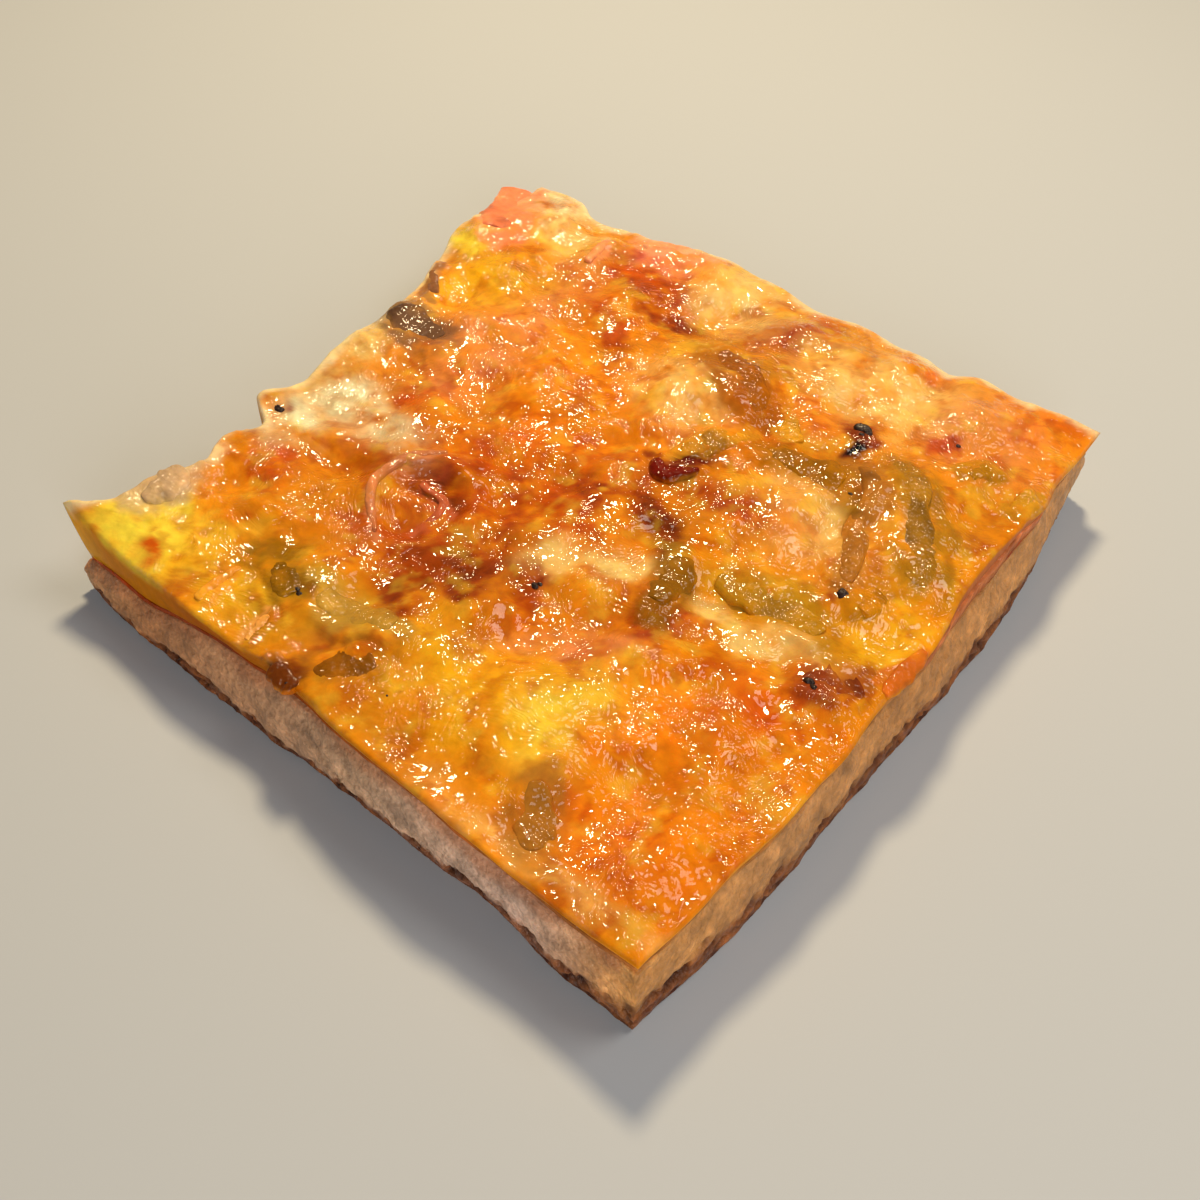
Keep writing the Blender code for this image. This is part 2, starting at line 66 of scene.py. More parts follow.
# Form of the slice, as in the solid model.
RIM_HEIGHT = 20.0
WIDTH = 134.0
RIM_SPAN = 145.0
LAYER_RAISE = 0.08
LAYER_SETBACK = 1.1
SAUCE_THICKNESS = 1.0
RIM = {
    "front": ((-67, -65.6), (-50.7, -66.8), (-32.6, -68.3), (-9.6, -68.2), (8, -71.1), (42, -72.9),
              (67.3, -73.8)),
    "back": ((-66, 70), (-62, 71), (-54, 70.8), (-49, 67.6), (-40, 69), (-33, 69.2), (-25, 71.6),
             (-16, 73.2), (-6, 73.4), (1, 73), (10, 71.5), (20, 72.5), (29, 72), (36, 72), (41.5, 70.2),
             (46, 73.2), (56, 72.5), (61, 73), (65, 74.4), (72.8, 74.4)),
    "left": ((-67, -65.6), (-61.5, -61), (-59, -52), (-55.8, -43), (-58.8, -34), (-55.5, -28),
             (-62.6, -23), (-59, -17), (-61.2, -3), (-60.4, 14), (-62.2, 25), (-66, 35),
             (-70.2, 47), (-67, 54), (-66.5, 60), (-66, 70)),
    "right": ((67.3, -73.8), (68, -66.8), (68.8, -60), (69.2, -53), (70.4, -46), (71.2, -40),
              (71.4, -32), (72.1, -24), (71.7, -17), (71.8, -8), (72.9, 2), (72.4, 8), (71.3, 15),
              (71.4, 28), (72.1, 38), (73.4, 47), (72.2, 55), (72.6, 62), (72.8, 74.4)),
}
FOOT = {
    "front": ((-63.6, -67.7), (-56, -69.3), (-47, -70.1), (-30, -70.9), (-14, -71.2), (2, -71.7),
              (22, -73), (49, -74.4), (68.2, -75)),
    "back": ((-66, 68), (-30, 68.5), (0, 70.5), (36, 70), (70.9, 74.5)),
    "left": ((-63.6, -67.7), (-61, -45), (-60.6, -5), (-63.5, 30), (-66, 68)),
    "right": ((68.2, -75), (72, -52), (73.6, -22), (75.8, 12), (75.8, 40), (73.3, 58), (70.9, 74.5)),
}
CHEESE_TOP = {
    "front": ((-66, 19.5), (-60, 18), (-55, 17), (-45, 16.8), (-35, 17.4), (-23, 17.3), (-17, 16.6),
              (-7, 17.2), (2, 18.3), (11, 19.2), (23, 19.4), (30, 18.4), (42, 17.6), (56, 17.4),
              (67, 18.2)),
    "back": ((-66, 19.5), (-30, 19.6), (20, 19.2), (72, 18.2)),
    "left": ((-66, 19.5), (-40, 19.2), (0, 19.4), (40, 19.8), (68, 19.5)),
    "right": ((-74, 18.2), (-60, 17.8), (-40, 18), (-20, 18.2), (0, 18.6), (12, 19.6), (24, 20.2),
              (36, 19.4), (50, 18.4), (73, 18.2)),
}
BASE_TOP = {
    "front": ((-66, 6.2), (-57, 8), (-48, 8.2), (-44, 9), (-37, 11), (-29, 12.6), (-18, 12.8),
              (-8, 13.2), (2, 14), (11, 14.9), (20, 15.4), (30, 14.7), (41, 14), (56, 13.8), (67, 14.4)),
    "back": ((-66, 12.5), (0, 13.5), (72, 12.6)),
    "left": ((-66, 6.2), (-52, 9.4), (-30, 11.5), (0, 12), (68, 12.5)),
    "right": ((-74, 14.4), (-40, 14.2), (-12, 14.2), (6, 13.4), (16, 12.6), (30, 12.4), (48, 13.4),
              (73, 12.6)),
}
INNER_RISE = 1.8
INNER_DIP = 1.0
INNER_START = 11.0
FOOT_LIFT = {
    "front": ((-66, 1.4), (-50, 0.6), (-20, 0.5), (0, 1.2), (10, 3), (20, 3.5), (30, 4), (38, 4.8),
              (44, 4), (49, 2), (54, 1), (67, 0.9)),
    "back": ((-66, 2), (0, 1.2), (72, 1.6)),
    "left": ((-66, 1.4), (-40, 1.2), (68, 2)),
    "right": ((-74, 0.9), (30, 1.3), (73, 1.6)),
}
SWELLS = (
    (5, 28, 13, 1.5), (-48, -60, 13, 0.8), (34, -50, 9, 1.1), (-36, 28, 15, 1.2), (-51, 38, 10, 1.5),
    (30, 56, 14, 0.9), (-28, -48, 8, -0.9), (46, 12, 7, -0.6), (12, -12, 9, -0.8), (24, -33, 8, -0.7),
    (-8, 47, 10, -0.8), (-45, -16, 10, 0.8), (55, -40, 12, 0.7), (-40, 56, 8, 0.8),
)
ONION_DIP = (-16, -26, 9.5, 2.6, 1.1)
WAVES = 16
WAVE_SEED = 5
WAVE_LENGTHS = (10, 42)
WAVE_HEIGHT = 0.42
HAM_ENDS = (-2, 50)
HAM_REACH = 20
HAM_THICKNESS = 3.6

# Kind, thickness and height above the cheese that toppings share.
PEPPER = ("pepper", 2.4, 1.2)
MUSHROOM = ("mushroom", 2.8, 1.2)
ONION = ("onion", 1.6, 0.8)
# Toppings: node, tone, kind, thickness, height above the cheese, (x, y, width) along it.
TOPPINGS = (
    ("pepper_broad", "#9C5602", *PEPPER, ((3, 41.5, 5), (11, 37.5, 9), (19.5, 32.5, 6))),
    ("pepper_upright", "#CC8B1C", *PEPPER, ((14, 12.8, 4), (17, 19, 5), (20.5, 26, 4))),
    ("pepper_short", "#C88C1C", *PEPPER, ((24.5, 34.5, 3.5), (26.5, 31, 4), (29.3, 29.2, 3))),
    ("pepper_wide", "#9C6300", *PEPPER, ((26.5, 22.5, 4), (35, 23.8, 7), (41.8, 24, 7.5))),
    ("pepper_long", "#9A6A10", *PEPPER,
     ((45.5, 36, 4), (51, 33.5, 5.5), (55.5, 26, 6), (60.5, 19.5, 6.5), (65, 12, 5))),
    ("pepper_thin", "#A86A20", *PEPPER,
     ((42.5, 31, 3), (47.3, 26, 3.5), (49, 18, 4), (52, 10, 4), (54, 4.5, 3))),
    ("pepper_dark", "#8A5A04", *PEPPER, ((27.5, -7.5, 4.5), (30.5, -13, 6.5), (30.5, -20, 4))),
    ("pepper_level", "#B07C10", *PEPPER, ((36, -8, 5), (42, -6.2, 7), (50, -6, 7), (56.5, -8.5, 5))),
    ("pepper_bit", "#BC7706", *PEPPER, ((59, 0.5, 4), (60, 7, 4))),
    ("pepper_far_bit", "#AC7400", *PEPPER, ((58.5, 42.5, 4), (61.5, 46.5, 4))),
    ("pepper_side_bit", "#C08A18", "pepper", 2.2, 1.3, ((69.3, 41, 3), (69.8, 47, 3))),
    ("pepper_pale", "#B48A34", *PEPPER, ((-15, -52.8, 4.5), (-8.3, -52.6, 6.5), (0.5, -51, 4.5))),
    ("pepper_deep", "#805600", *PEPPER, ((-30, -49.5, 4), (-24, -52, 6), (-18.5, -55.5, 4.5))),
    ("pepper_browned", "#8A5208", "browned", 2.2, 1.3,
     ((-4.2, -65.3, 3.5), (-0.9, -62.6, 7), (2.2, -57.6, 5))),
    ("pepper_front", "#A86C20", "pepper", 2.2, 1.3, ((38, -60, 4), (41, -64, 6), (44.5, -67.8, 5))),
    ("pepper_curl", "#701404", "browned", 2.4, 1.2, ((11, 8, 2.4), (14, 6.2, 3), (19.5, 10.5, 2.4))),
    ("browned_scrap", "#8A3A14", "browned", 2.6, 1.6, ((59.5, -18, 4.5), (64, -15.8, 7.5), (67, -12, 5))),
    ("browned_knob", "#6A3208", "browned", 2.2, 1.3, ((-11, -68, 2.6), (-8, -68.6, 3.6), (-5, -68.6, 2.6))),
    ("ham_scrap", "#C8661C", "ham", 2, 1.4, ((71, -11, 2), (71.4, -5, 3), (72, 1, 2.2))),
    ("ham_corner", "#FC8C60", "ham", 3, 2, ((-61.2, 47, 6.5), (-64.8, 55, 8.5), (-69.3, 66, 8))),
    ("ham_back", "#F0A074", "ham", 2.4, 1.1, ((-34, 66.5, 4), (-27, 67.2, 6), (-20, 68.6, 4))),
    ("mushroom_back", "#6C4C36", *MUSHROOM, ((-59, 12.8, 5.5), (-52, 11.8, 8), (-45.5, 10.4, 6.5))),
    ("mushroom_thin", "#8A5A38", *MUSHROOM, ((-61.5, 28, 2.6), (-56.5, 21.8, 2.6))),
    ("mushroom_left", "#C0A07C", *MUSHROOM, ((-56, -46.5, 5), (-55.5, -51.5, 7.5), (-56.5, -56.5, 4))),
    ("onion_ring", "#C87A4C", "onion", 1.5, 0.7,
     ((-20.5, -14, 1.4), (-25, -20, 1.7), (-26, -25, 1.8), (-24, -31, 1.6), (-18.5, -36, 1.3))),
    ("onion_inner", "#C0603C", *ONION, ((-20, -22, 1.8), (-14, -22.5, 2), (-12.5, -30, 1.8))),
    ("onion_far", "#E88C58", "onion", 1.9, 0.8, ((-38.5, 60, 2), (-37, 50, 2))),
    ("onion_near", "#EC9A30", *ONION, ((-31, -56.5, 1.8), (-31.5, -66, 1.8))),
    ("onion_front", "#E8A04C", *ONION, ((-19.5, -61, 1.8), (-18.5, -66.5, 1.8))),
)

# How much wider a topping is here than in the solid.
TOPPING_SPREAD = 1.12

# Fineness of the meshes made here.
CHEESE_CELLS = 272
CRUMB_ROWS = 44
STRIP_RINGS = 40
STRIP_SIDES = 20
HAM_ROWS, HAM_COLUMNS = 120, 9
CHAR_SIDES, CHAR_RINGS = 14, 9

# Which of x and y runs along each side.
MAIN = {"front": 0, "back": 0, "left": 1, "right": 1}

# Baked colours of the cheese, as sRGB.
CHEESE_COLOURS = {
    "golden": "#E98E0C", "yellow": "#F5AC14", "bright": "#FDD63C", "orange": "#EE8408",
    "deep": "#DC6A04", "brown_orange": "#BC5402", "dark": "#8C3602", "darkest": "#581C02",
    "cream": "#F6C468", "pale": "#FDE8AC", "salmon": "#EA9048", "pink": "#F0845A",
    "rust": "#AC4C14", "red": "#B83A08", "straw": "#D09A1C",
}
# How much further than the mixed colours the cheese goes away from golden: red, green, blue.
COLOUR_DEPTH = np.array((1.15, 1.25, 1.4))
# Browned cheese keeps at least this share of its red as green.
BROWN_GREEN = 0.15
# Wetness of the cut edge of the cheese, where the top has 1.
EDGE_WETNESS = 0.12
# Where the cheese is which colour, some patches also painting shade in hollows and others highlight on
# crests: name, x, y, half length, half breadth, turn in degrees, strength.
CHEESE_PATCHES = (
    ("brown_orange", -6, -14, 24, 15, 10, 0.65), ("orange", -10, 10, 26, 16, 0, 0.45),
    ("salmon", -38, 26, 10, 22, 0, 0.5), ("salmon", -38, 6, 8, 10, 0, 0.35),
    ("bright", -50, -60, 14, 8, 0, 0.9), ("yellow", -31, -60, 11, 8, 0, 0.8),
    ("straw", -18, -60, 8, 6, 0, 0.5), ("yellow", 16, -52, 19, 12, 20, 0.85),
    # The bright strip at (35, -50) runs along a ridge: paler cheese and painted highlight.
    ("bright", 35, -50, 5, 11, 5, 0.9), ("orange", 56, -48, 17, 19, 0, 0.85),
    ("deep", 58, -27, 11, 8, 40, 0.7), ("orange", 50, -63, 14, 6, 0, 0.9),
    ("golden", 64, -38, 6, 9, 0, 0.6), ("rust", 31, -25, 9, 4.5, 45, 0.65),
    ("salmon", 24, -36, 9, 3, 32, 0.6), ("orange", 16, -33, 8, 5, 30, 0.5),
    # The dark patch at (-1, -35) is browned cheese and painted shade in the hollow beside a hump.
    ("dark", -1, -35, 13, 6.5, 18, 0.85), ("brown_orange", -16, -38, 12, 6, 10, 0.95),
    ("dark", -17, -21, 4.6, 2.6, 20, 0.9), ("rust", -15, -27, 6, 5, 0, 0.6),
    ("brown_orange", -20, 51, 11, 5, 0, 0.85), ("brown_orange", 9, 58, 8, 12, 0, 0.8),
    # The dark strip at (-12, 46) is darker cheese and painted shade along the hollow between two humps.
    ("dark", -12, 46, 13, 2.6, 5, 0.7), ("dark", -19, 35, 8, 2.6, -30, 0.8),
    ("deep", -24, 38, 9, 6, 0, 0.5), ("cream", 5, 29, 8, 9, 30, 0.8),
    ("cream", -4, 63, 10, 10, 0, 0.8), ("cream", 34, 55, 17, 13, 0, 0.6),
    ("cream", 42, 13, 10, 8, 0, 0.55), ("cream", 46, -14.4, 12, 2.4, 8, 0.8),
    # The cream strip at (18, -19) runs along a fold crest: paler cheese and painted highlight.
    ("cream", 18, -19, 10, 3.2, 38, 0.8), ("cream", 12, -24, 3, 4, 0, 0.3),
    ("cream", 45, -70.5, 22, 2.6, 0, 0.3), ("cream", -57, 0, 6, 17, 0, 0.7),
    ("pale", -48, -13, 6, 4, 20, 0.8), ("yellow", -50, 34, 9, 10, 0, 0.85),
    ("bright", -63, 42, 4, 9, 15, 0.7), ("pink", -26, 62, 8, 5, 0, 0.7),
    ("red", -35, 62, 4, 5, 0, 0.45), ("deep", -28, 54, 6, 3, 0, 0.8),
    ("pale", -58, 64, 8, 5, 0, 0.8), ("cream", -47, 57, 9, 9, 0, 0.55),
    ("deep", -45, -36, 4.5, 4.5, 0, 0.9), ("deep", -38, -47.5, 3, 2.5, 0, 0.35),
    ("deep", -47.5, -65, 3, 1.8, 0, 0.7), ("deep", -60.5, -65, 2, 1.2, 0, 0.5),
    ("red", -36, -23.6, 6, 1.4, -6, 0.45), ("deep", -36, -4, 4, 3, 0, 0.6),
    ("red", 15.4, -61, 2, 7, -16, 0.3), ("dark", -6.5, -44, 5, 2.4, -42, 0.95),
    ("rust", 66, 26, 2.6, 2.6, 0, 0.5), ("deep", 37, 67, 3, 3, 0, 0.7),
    ("orange", 67, 67, 7, 8, 0, 0.6), ("salmon", 58, 56, 11, 12, 0, 0.45),
    ("red", 52.5, 48, 1.8, 6, -24, 0.7), ("darkest", 24.5, -6, 2.6, 4.5, 25, 0.8),
    ("dark", 14, -5, 12, 4, 0, 0.6), ("yellow", 65, -1, 5, 9, 0, 0.9),
    ("yellow", 66, 13, 4, 8, 0, 0.5), ("straw", 9, 42, 11, 6, -20, 0.7),
    ("brown_orange", 14, 36, 12, 6, -25, 0.4), ("brown_orange", 22, 24, 7, 9, 0, 0.3),
    ("brown_orange", 28, 7, 13, 3.6, 8, 0.7), ("orange", 30, 40, 7, 6, 0, 0.5),
    ("golden", -22, -42, 14, 6, 0, 0.5), ("pale", -51, -25, 7, 6, 0, 0.75),
    ("pale", -38, -15, 11, 5, -10, 0.6), ("darkest", 18, 10.5, 3.4, 5, -20, 0.85),
    ("rust", 62, -18, 5, 3, 0, 0.5), ("darkest", 38, 37, 1.8, 6, 12, 0.95),
    ("darkest", 45, 23, 1.5, 8, 24, 0.85), ("deep", -4, 2, 12, 5, 10, 0.4),
    ("straw", 47, -5, 14, 6, 0, 0.35), ("straw", 55, 20, 12, 14, 40, 0.3),
    ("rust", 40, -61, 5, 4, 30, 0.5), ("rust", -2, -57, 8, 7, 30, 0.55),
    ("straw", -14, -51, 14, 5, -10, 0.6), ("deep", 60, -58, 7, 3, 0, 0.4),
)

# Colours along the cuts, as (place along the side, colour): edge of the cheese, tomato and crumb.
WALL_COLOURS = {
    "front": ((-66, "#F4AA03"), (-57, "#D98404"), (-45, "#CC7B02"), (-30, "#B86002"), (0, "#CC7A08"),
              (67, "#E6901C")),
    "right": ((-74, "#E6901C"), (-20, "#DC9430"), (0, "#CC7C38"), (8, "#BE6630"), (40, "#C87440"),
              (52, "#DC9434"), (73, "#E8A040")),
    "back": ((-66, "#F0B850"), (72, "#E8A040")),
    "left": ((-66, "#F4AA03"), (68, "#F0B850")),
}
SAUCE_COLOURS = {
    "front": ((-66, "#BA4106"), (-40, "#A44008"), (-25, "#923B0E"), (0, "#A34E0A"), (30, "#B86426"),
              (67, "#B8743A")),
    "right": ((-74, "#B8783C"), (0, "#B8783C"), (12, "#B06030"), (34, "#A04018"), (46, "#A04018"),
              (73, "#A85828")),
    "back": ((-66, "#B85818"), (72, "#A85828")),
    "left": ((-66, "#BA4106"), (68, "#B85818")),
}
CRUMB_COLOURS = {
    "front": ((-66, "#E0A26D"), (-45, "#D2915E"), (-20, "#CA966D"), (10, "#D6AC89"), (45, "#E5BFA9"),
              (60, "#E0A269"), (67, "#EAA65A")),
    "right": ((-74, "#C58A4A"), (-40, "#C18A53"), (0, "#C1864A"), (40, "#C98E53"), (73, "#C98E53")),
    "back": ((-66, "#D4A06A"), (72, "#D4975D")),
    "left": ((-66, "#C38F6A"), (68, "#D4A06A")),
}
CRUST_COLOURS = ("#582208", "#98541E")
STAIN_COLOUR = "#C07C50"
# Dark of the pits and pores: charred crumb, and painted shade inside the holes.
PORE_CHAR_AND_SHADE = "#3C1606"
HAM_CUT_COLOUR = "#D07848"
CHAR_COLOURS = ("#301008", "#100304")
# Height of the browned and porous band above the lower edge.
POROUS_BAND = {
    "front": ((-66, 1.2), (-44, 1.8), (-33, 2.6), (-20, 1.6), (20, 2.0), (50, 2.4), (67, 3.6)),
    "back": ((-66, 1.8), (72, 2.4)),
    "left": ((-66, 1.2), (68, 1.8)),
    "right": ((-74, 4.8), (-60, 5.6), (-30, 4.8), (10, 3.8), (40, 3.2), (73, 2.8)),
}
# Large pores in the cut crumb: (x, y, z, radius along the face, radius up, depth).
PORES = (
    (69.4, -66, 5, 2.8, 2, 2.4), (72.4, -43, 6.6, 1.8, 1.1, 1.6), (73.6, -28.5, 6, 3, 1.1, 1.8),
    (74.6, -8, 5.5, 2.4, 1, 1.5), (-39, -71, 2.8, 1.8, 1, 1.4), (-28, -71.4, 3.2, 2, 1, 1.4),
    (5.5, -72.4, 5.6, 1.9, 1.1, 1.5), (58, -74.8, 3.8, 1.7, 1, 1.5), (-62, 10, 6, 2, 1.2, 1.6),
)

# Charred specks: x, y, size.
CHAR_BITS = (
    (36.9, 41, 1.7), (38.2, 40.4, 1.1), (36.2, 42.2, 1.0), (37.8, 39, 0.6), (55.6, 1.8, 1.2),
    (54.8, 2.8, 0.7), (12.4, -28.8, 0.8), (12.9, -28, 0.5), (8.9, -61.7, 0.3), (-18.6, -54.6, 0.8),
    (-17.6, -55.2, 0.6), (53, 50.4, 0.5), (-56.2, -23.2, 1.0), (60.6, -17.8, 1.1), (61.8, -18.6, 0.7),
    (-6.2, -69, 0.9), (44.4, 23, 0.5),
)


def hex_linear(text):
    """Linear colour of an sRGB hex value."""
    value = np.array([int(text[k:k + 2], 16) for k in (1, 3, 5)]) / 255
    return np.where(value <= 0.04045, value / 12.92, ((value + 0.055) / 1.055) ** 2.4)


def colour(text):
    """Linear colour of an sRGB hex value, opaque."""
    return (*hex_linear(text), 1.0)


def smooth(points, at):
    """Cubic curve through (place, value) pairs, its slope at each the mean of its neighbours'."""
    places, values = np.array(points, float).T
    slopes = np.gradient(values, places)
    i = np.clip(np.searchsorted(places, at) - 1, 0, len(places) - 2)
    step = places[i + 1] - places[i]
    t = np.clip((at - places[i]) / step, 0, 1)
    start = (1 + 2 * t) * (1 - t) ** 2 * values[i] + t * (1 - t) ** 2 * step * slopes[i]
    end = t * t * (3 - 2 * t) * values[i + 1] - t * t * (1 - t) * step * slopes[i + 1]
    return start + end


def ramp(value, low, high):
    """0 below low, 1 above high, and the curve 3t2 - 2t3 between."""
    t = np.clip((value - low) / (high - low), 0, 1)
    return t * t * (3 - 2 * t)


def lattice_noise(x, y, size, seed):
    """Random values on a square lattice of this size, joined by the ramp curve, from 0 to 1."""
    table = np.random.default_rng(seed).random((256, 256))
    x, y = x / size + 100, y / size + 100
    i, j = np.floor(x).astype(int), np.floor(y).astype(int)
    s, t = ramp(x - i, 0, 1), ramp(y - j, 0, 1)
    corners = [table[(i + a) % 256, (j + b) % 256] for a in (0, 1) for b in (0, 1)]
    return (1 - s) * ((1 - t) * corners[0] + t * corners[1]) + s * ((1 - t) * corners[2] + t * corners[3])


def cloud(x, y, size, seed, layers):
    """Sum of lattice noises, each half the size of the last and 0.55 of its height, about 0."""
    total = 0
    for k in range(layers):
        turn = 0.9 * k
        a, b = x * np.cos(turn) - y * np.sin(turn), x * np.sin(turn) + y * np.cos(turn)
        total = total + 0.55 ** k * (2 * lattice_noise(a, b, size / 2 ** k, seed + k) - 1)
    return total


def creases(x, y, size, seed):
    """Narrow crests where a noise crosses its middle value, 0 away from them and 1 on them."""
    return (1 - np.abs(cloud(x, y, size, seed, 2))) ** 3


def pits(x, y, size, seed, share):
    """Round dents: distance to the nearest of a jittered lattice's points, 1 in a dent and 0 off it."""
    jitter = np.random.default_rng(seed).random((256, 256, 3))
    i, j = np.floor(x / size).astype(int), np.floor(y / size).astype(int)
    depth = np.zeros(np.shape(x))
    for a in (-1, 0, 1):
        for b in (-1, 0, 1):
            cell = jitter[(i + a) % 256, (j + b) % 256]
            off = np.hypot(x / size - i - a - cell[..., 0], y / size - j - b - cell[..., 1])
            radius = 0.25 + 0.4 * cell[..., 2]
            depth = np.maximum(depth, (cell[..., 2] > 1 - share) * np.clip(1 - (off / radius) ** 2, 0, 1))
    return depth


def side_ends(side):
    """Where a side of the rim starts and ends along its own axis."""
    return RIM[side][0][MAIN[side]], RIM[side][-1][MAIN[side]]


def side_place(outline, side, share):
    """Plan point at a share of a side, on the smooth curve through its named points."""
    points = np.array(outline[side], float)
    main = MAIN[side]
    along = points[0, main] + share * (points[-1, main] - points[0, main])
    across = smooth(points[:, [main, 1 - main]], along)
    return np.stack((along, across) if main == 0 else (across, along), -1)


def blend_sides(value_on, u, v):
    """Four sides' values spread over the square, less the straight blend of the corners."""
    front, back, left, right = (value_on(side) for side in ("front", "back", "left", "right"))
    corners = ((1 - u) * (1 - v) * front(0 * u) + u * (1 - v) * front(0 * u + 1)
               + (1 - u) * v * back(0 * u) + u * v * back(0 * u + 1))
    return (1 - v) * front(u) + v * back(u) + (1 - u) * left(v) + u * right(v) - corners


def plan(u, v, level):
    """Plan point of (u, v): level 0 has the base's outline and level 1 the cheese rim's."""
    u, v, level = (np.asarray(value, float)[..., None] for value in (u, v, level))

    def side(name):
        return lambda share: ((1 - level) * side_place(FOOT, name, share[..., 0])
                              + level * side_place(RIM, name, share[..., 0]))

    return blend_sides(side, u, v)


def side_heights(table, u, v):
    """Height at (u, v) spread from the heights named along the four sides."""
    def along(side):
        first, last = side_ends(side)
        return lambda share: smooth(table[side], first + share * (last - first))

    return blend_sides(along, u, v)


def cheese_relief(x, y):
    """Swells and hollows as bell curves, the lip of the onion dip, and a sum of sine waves."""
    height = sum(rise * np.exp(-((x - cx) ** 2 + (y - cy) ** 2) / (0.7 * radius) ** 2)
                 for cx, cy, radius, rise in SWELLS)
    cx, cy, radius, width, lip = ONION_DIP
    off_ring = (np.hypot(x - cx, y - cy) - radius) / width
    height = height + lip * np.exp(-off_ring ** 2) - 0.7 * lip * (off_ring < 0) * (1 - np.exp(-off_ring ** 2))
    draw = np.random.default_rng(WAVE_SEED)
    length = np.geomspace(*WAVE_LENGTHS, WAVES)
    turn = draw.uniform(0, 2 * np.pi, WAVES)
    phase = draw.uniform(0, 2 * np.pi, WAVES)
    for size, angle, start in zip(length, turn, phase):
        run = (x * np.cos(angle) + y * np.sin(angle)) / size
        height = height + WAVE_HEIGHT * (size / WAVE_LENGTHS[1]) ** 0.6 * np.sin(2 * np.pi * run + start)
    return height


def rim_share(x, y):
    """(u, v) of a plan point, read off the rim's four sides."""
    left, right = (smooth([(b, a) for a, b in RIM[side]], y) for side in ("left", "right"))
    front, back = (smooth(RIM[side], x) for side in ("front", "back"))
    return np.clip((x - left) / (right - left), 0, 1), np.clip((y - front) / (back - front), 0, 1)


def inwardness(u, v):
    """0 on the outline, rising in a straight line to 1 a little way in."""
    nearest = np.minimum(np.minimum(u, 1 - u), np.minimum(v, 1 - v))
    return np.clip(nearest * WIDTH / INNER_START, 0, 1)


def cheese_height(x, y):
    """Height of the cheese over a plan point, its relief fading towards the rim."""
    u, v = rim_share(x, y)
    inward = inwardness(u, v)
    relief = (0.35 + 0.65 * inward) * cheese_relief(x, y)
    return side_heights(CHEESE_TOP, u, v) + INNER_RISE * inward + relief


def strip_course(path, count):
    """Even steps along a topping's smooth middle line: x, y, width and direction."""
    path = np.array(path, float)
    run = length_run(path[:, :2])
    share = (1 - np.cos(np.pi * np.arange(count + 1) / count)) / 2
    x, y, width = (smooth(np.column_stack((run, path[:, k])), share * run[-1]) for k in range(3))
    ahead = np.column_stack((np.gradient(x, share), np.gradient(y, share)))
    ahead /= np.linalg.norm(ahead, axis=1, keepdims=True)
    return share, x, y, width, ahead


def near_toppings(x, y, spread):
    """For each plan point: closeness to the nearest topping, from 0 to 1, its rise and its tone."""
    closeness = np.zeros(np.shape(x))
    lift = np.zeros(np.shape(x))
    stain = np.zeros((*np.shape(x), 3))
    for _, tone, _, _, proud, path in TOPPINGS:
        _, px, py, width, _ = strip_course(path, 14)
        reach = spread * width.max()
        margin = width.max() / 2 + reach
        near = ((x > px.min() - margin) & (x < px.max() + margin)
                & (y > py.min() - margin) & (y < py.max() + margin))
        if not near.any():
            continue
        gap = np.hypot(x[near][:, None] - px, y[near][:, None] - py)
        close = np.clip(1 - (gap - width / 2) / reach, 0, 1).max(axis=1)
        stain[near] = np.where((close > closeness[near])[:, None], hex_linear(tone), stain[near])
        closeness[near] = np.maximum(closeness[near], close)
        lift[near] = np.maximum(lift[near], ramp(close, 0, 1) * proud)
    return closeness, lift, stain


def skin_relief(x, y):
    """Melted skin on warped places: soft lumps, folds stretched two ways, and blisters."""
    wx = x + 2.4 * cloud(x, y, 9, 11, 3)
    wy = y + 2.4 * cloud(x, y, 9, 12, 3)
    lumps = 0.3 * cloud(wx, wy, 11, 21, 2)
    folds = 0.42 * creases(0.45 * wx + 0.9 * wy, 0.35 * (0.9 * wx - 0.45 * wy), 4.6, 31)
    cross = 0.36 * creases(0.35 * (wx - 0.5 * wy), 0.9 * wy + 0.5 * wx, 4.2, 41)
    pick = ramp(cloud(x, y, 26, 51, 2), -0.35, 0.35)
    blisters = 0.22 * ramp(cloud(wx, wy, 3.6, 61, 1), 0.1, 0.9)
    calm = 0.45 + 0.55 * ramp(cloud(x, y, 18, 81, 2), -0.3, 0.4)
    return wx, wy, lumps + calm * (pick * folds + (1 - pick) * cross + blisters) - 0.3


def fine_cheese_height(x, y):
    """Cheese with its melted skin, calmer at every topping, which it climbs part of the way over."""
    wx, wy, relief = skin_relief(x, y)
    closeness, lift, _ = near_toppings(wx, wy, 0.4)
    cover = 0.3 + 0.45 * lattice_noise(wx, wy, 7, 55)
    return cheese_height(x, y) + relief * (1 - 0.6 * closeness) + cover * lift


def patch_weight(x, y, px, py, length, breadth, turn):
    """Soft oval: 1 in the middle, a half at its edge."""
    angle = np.radians(turn)
    a = (x - px) * np.cos(angle) + (y - py) * np.sin(angle)
    b = -(x - px) * np.sin(angle) + (y - py) * np.cos(angle)
    return np.exp(-0.7 * ((a / length) ** 2 + (b / breadth) ** 2) ** 1.5)


def cheese_tone(name):
    """Linear colour of one of the cheese's named tones."""
    return hex_linear(CHEESE_COLOURS[name])


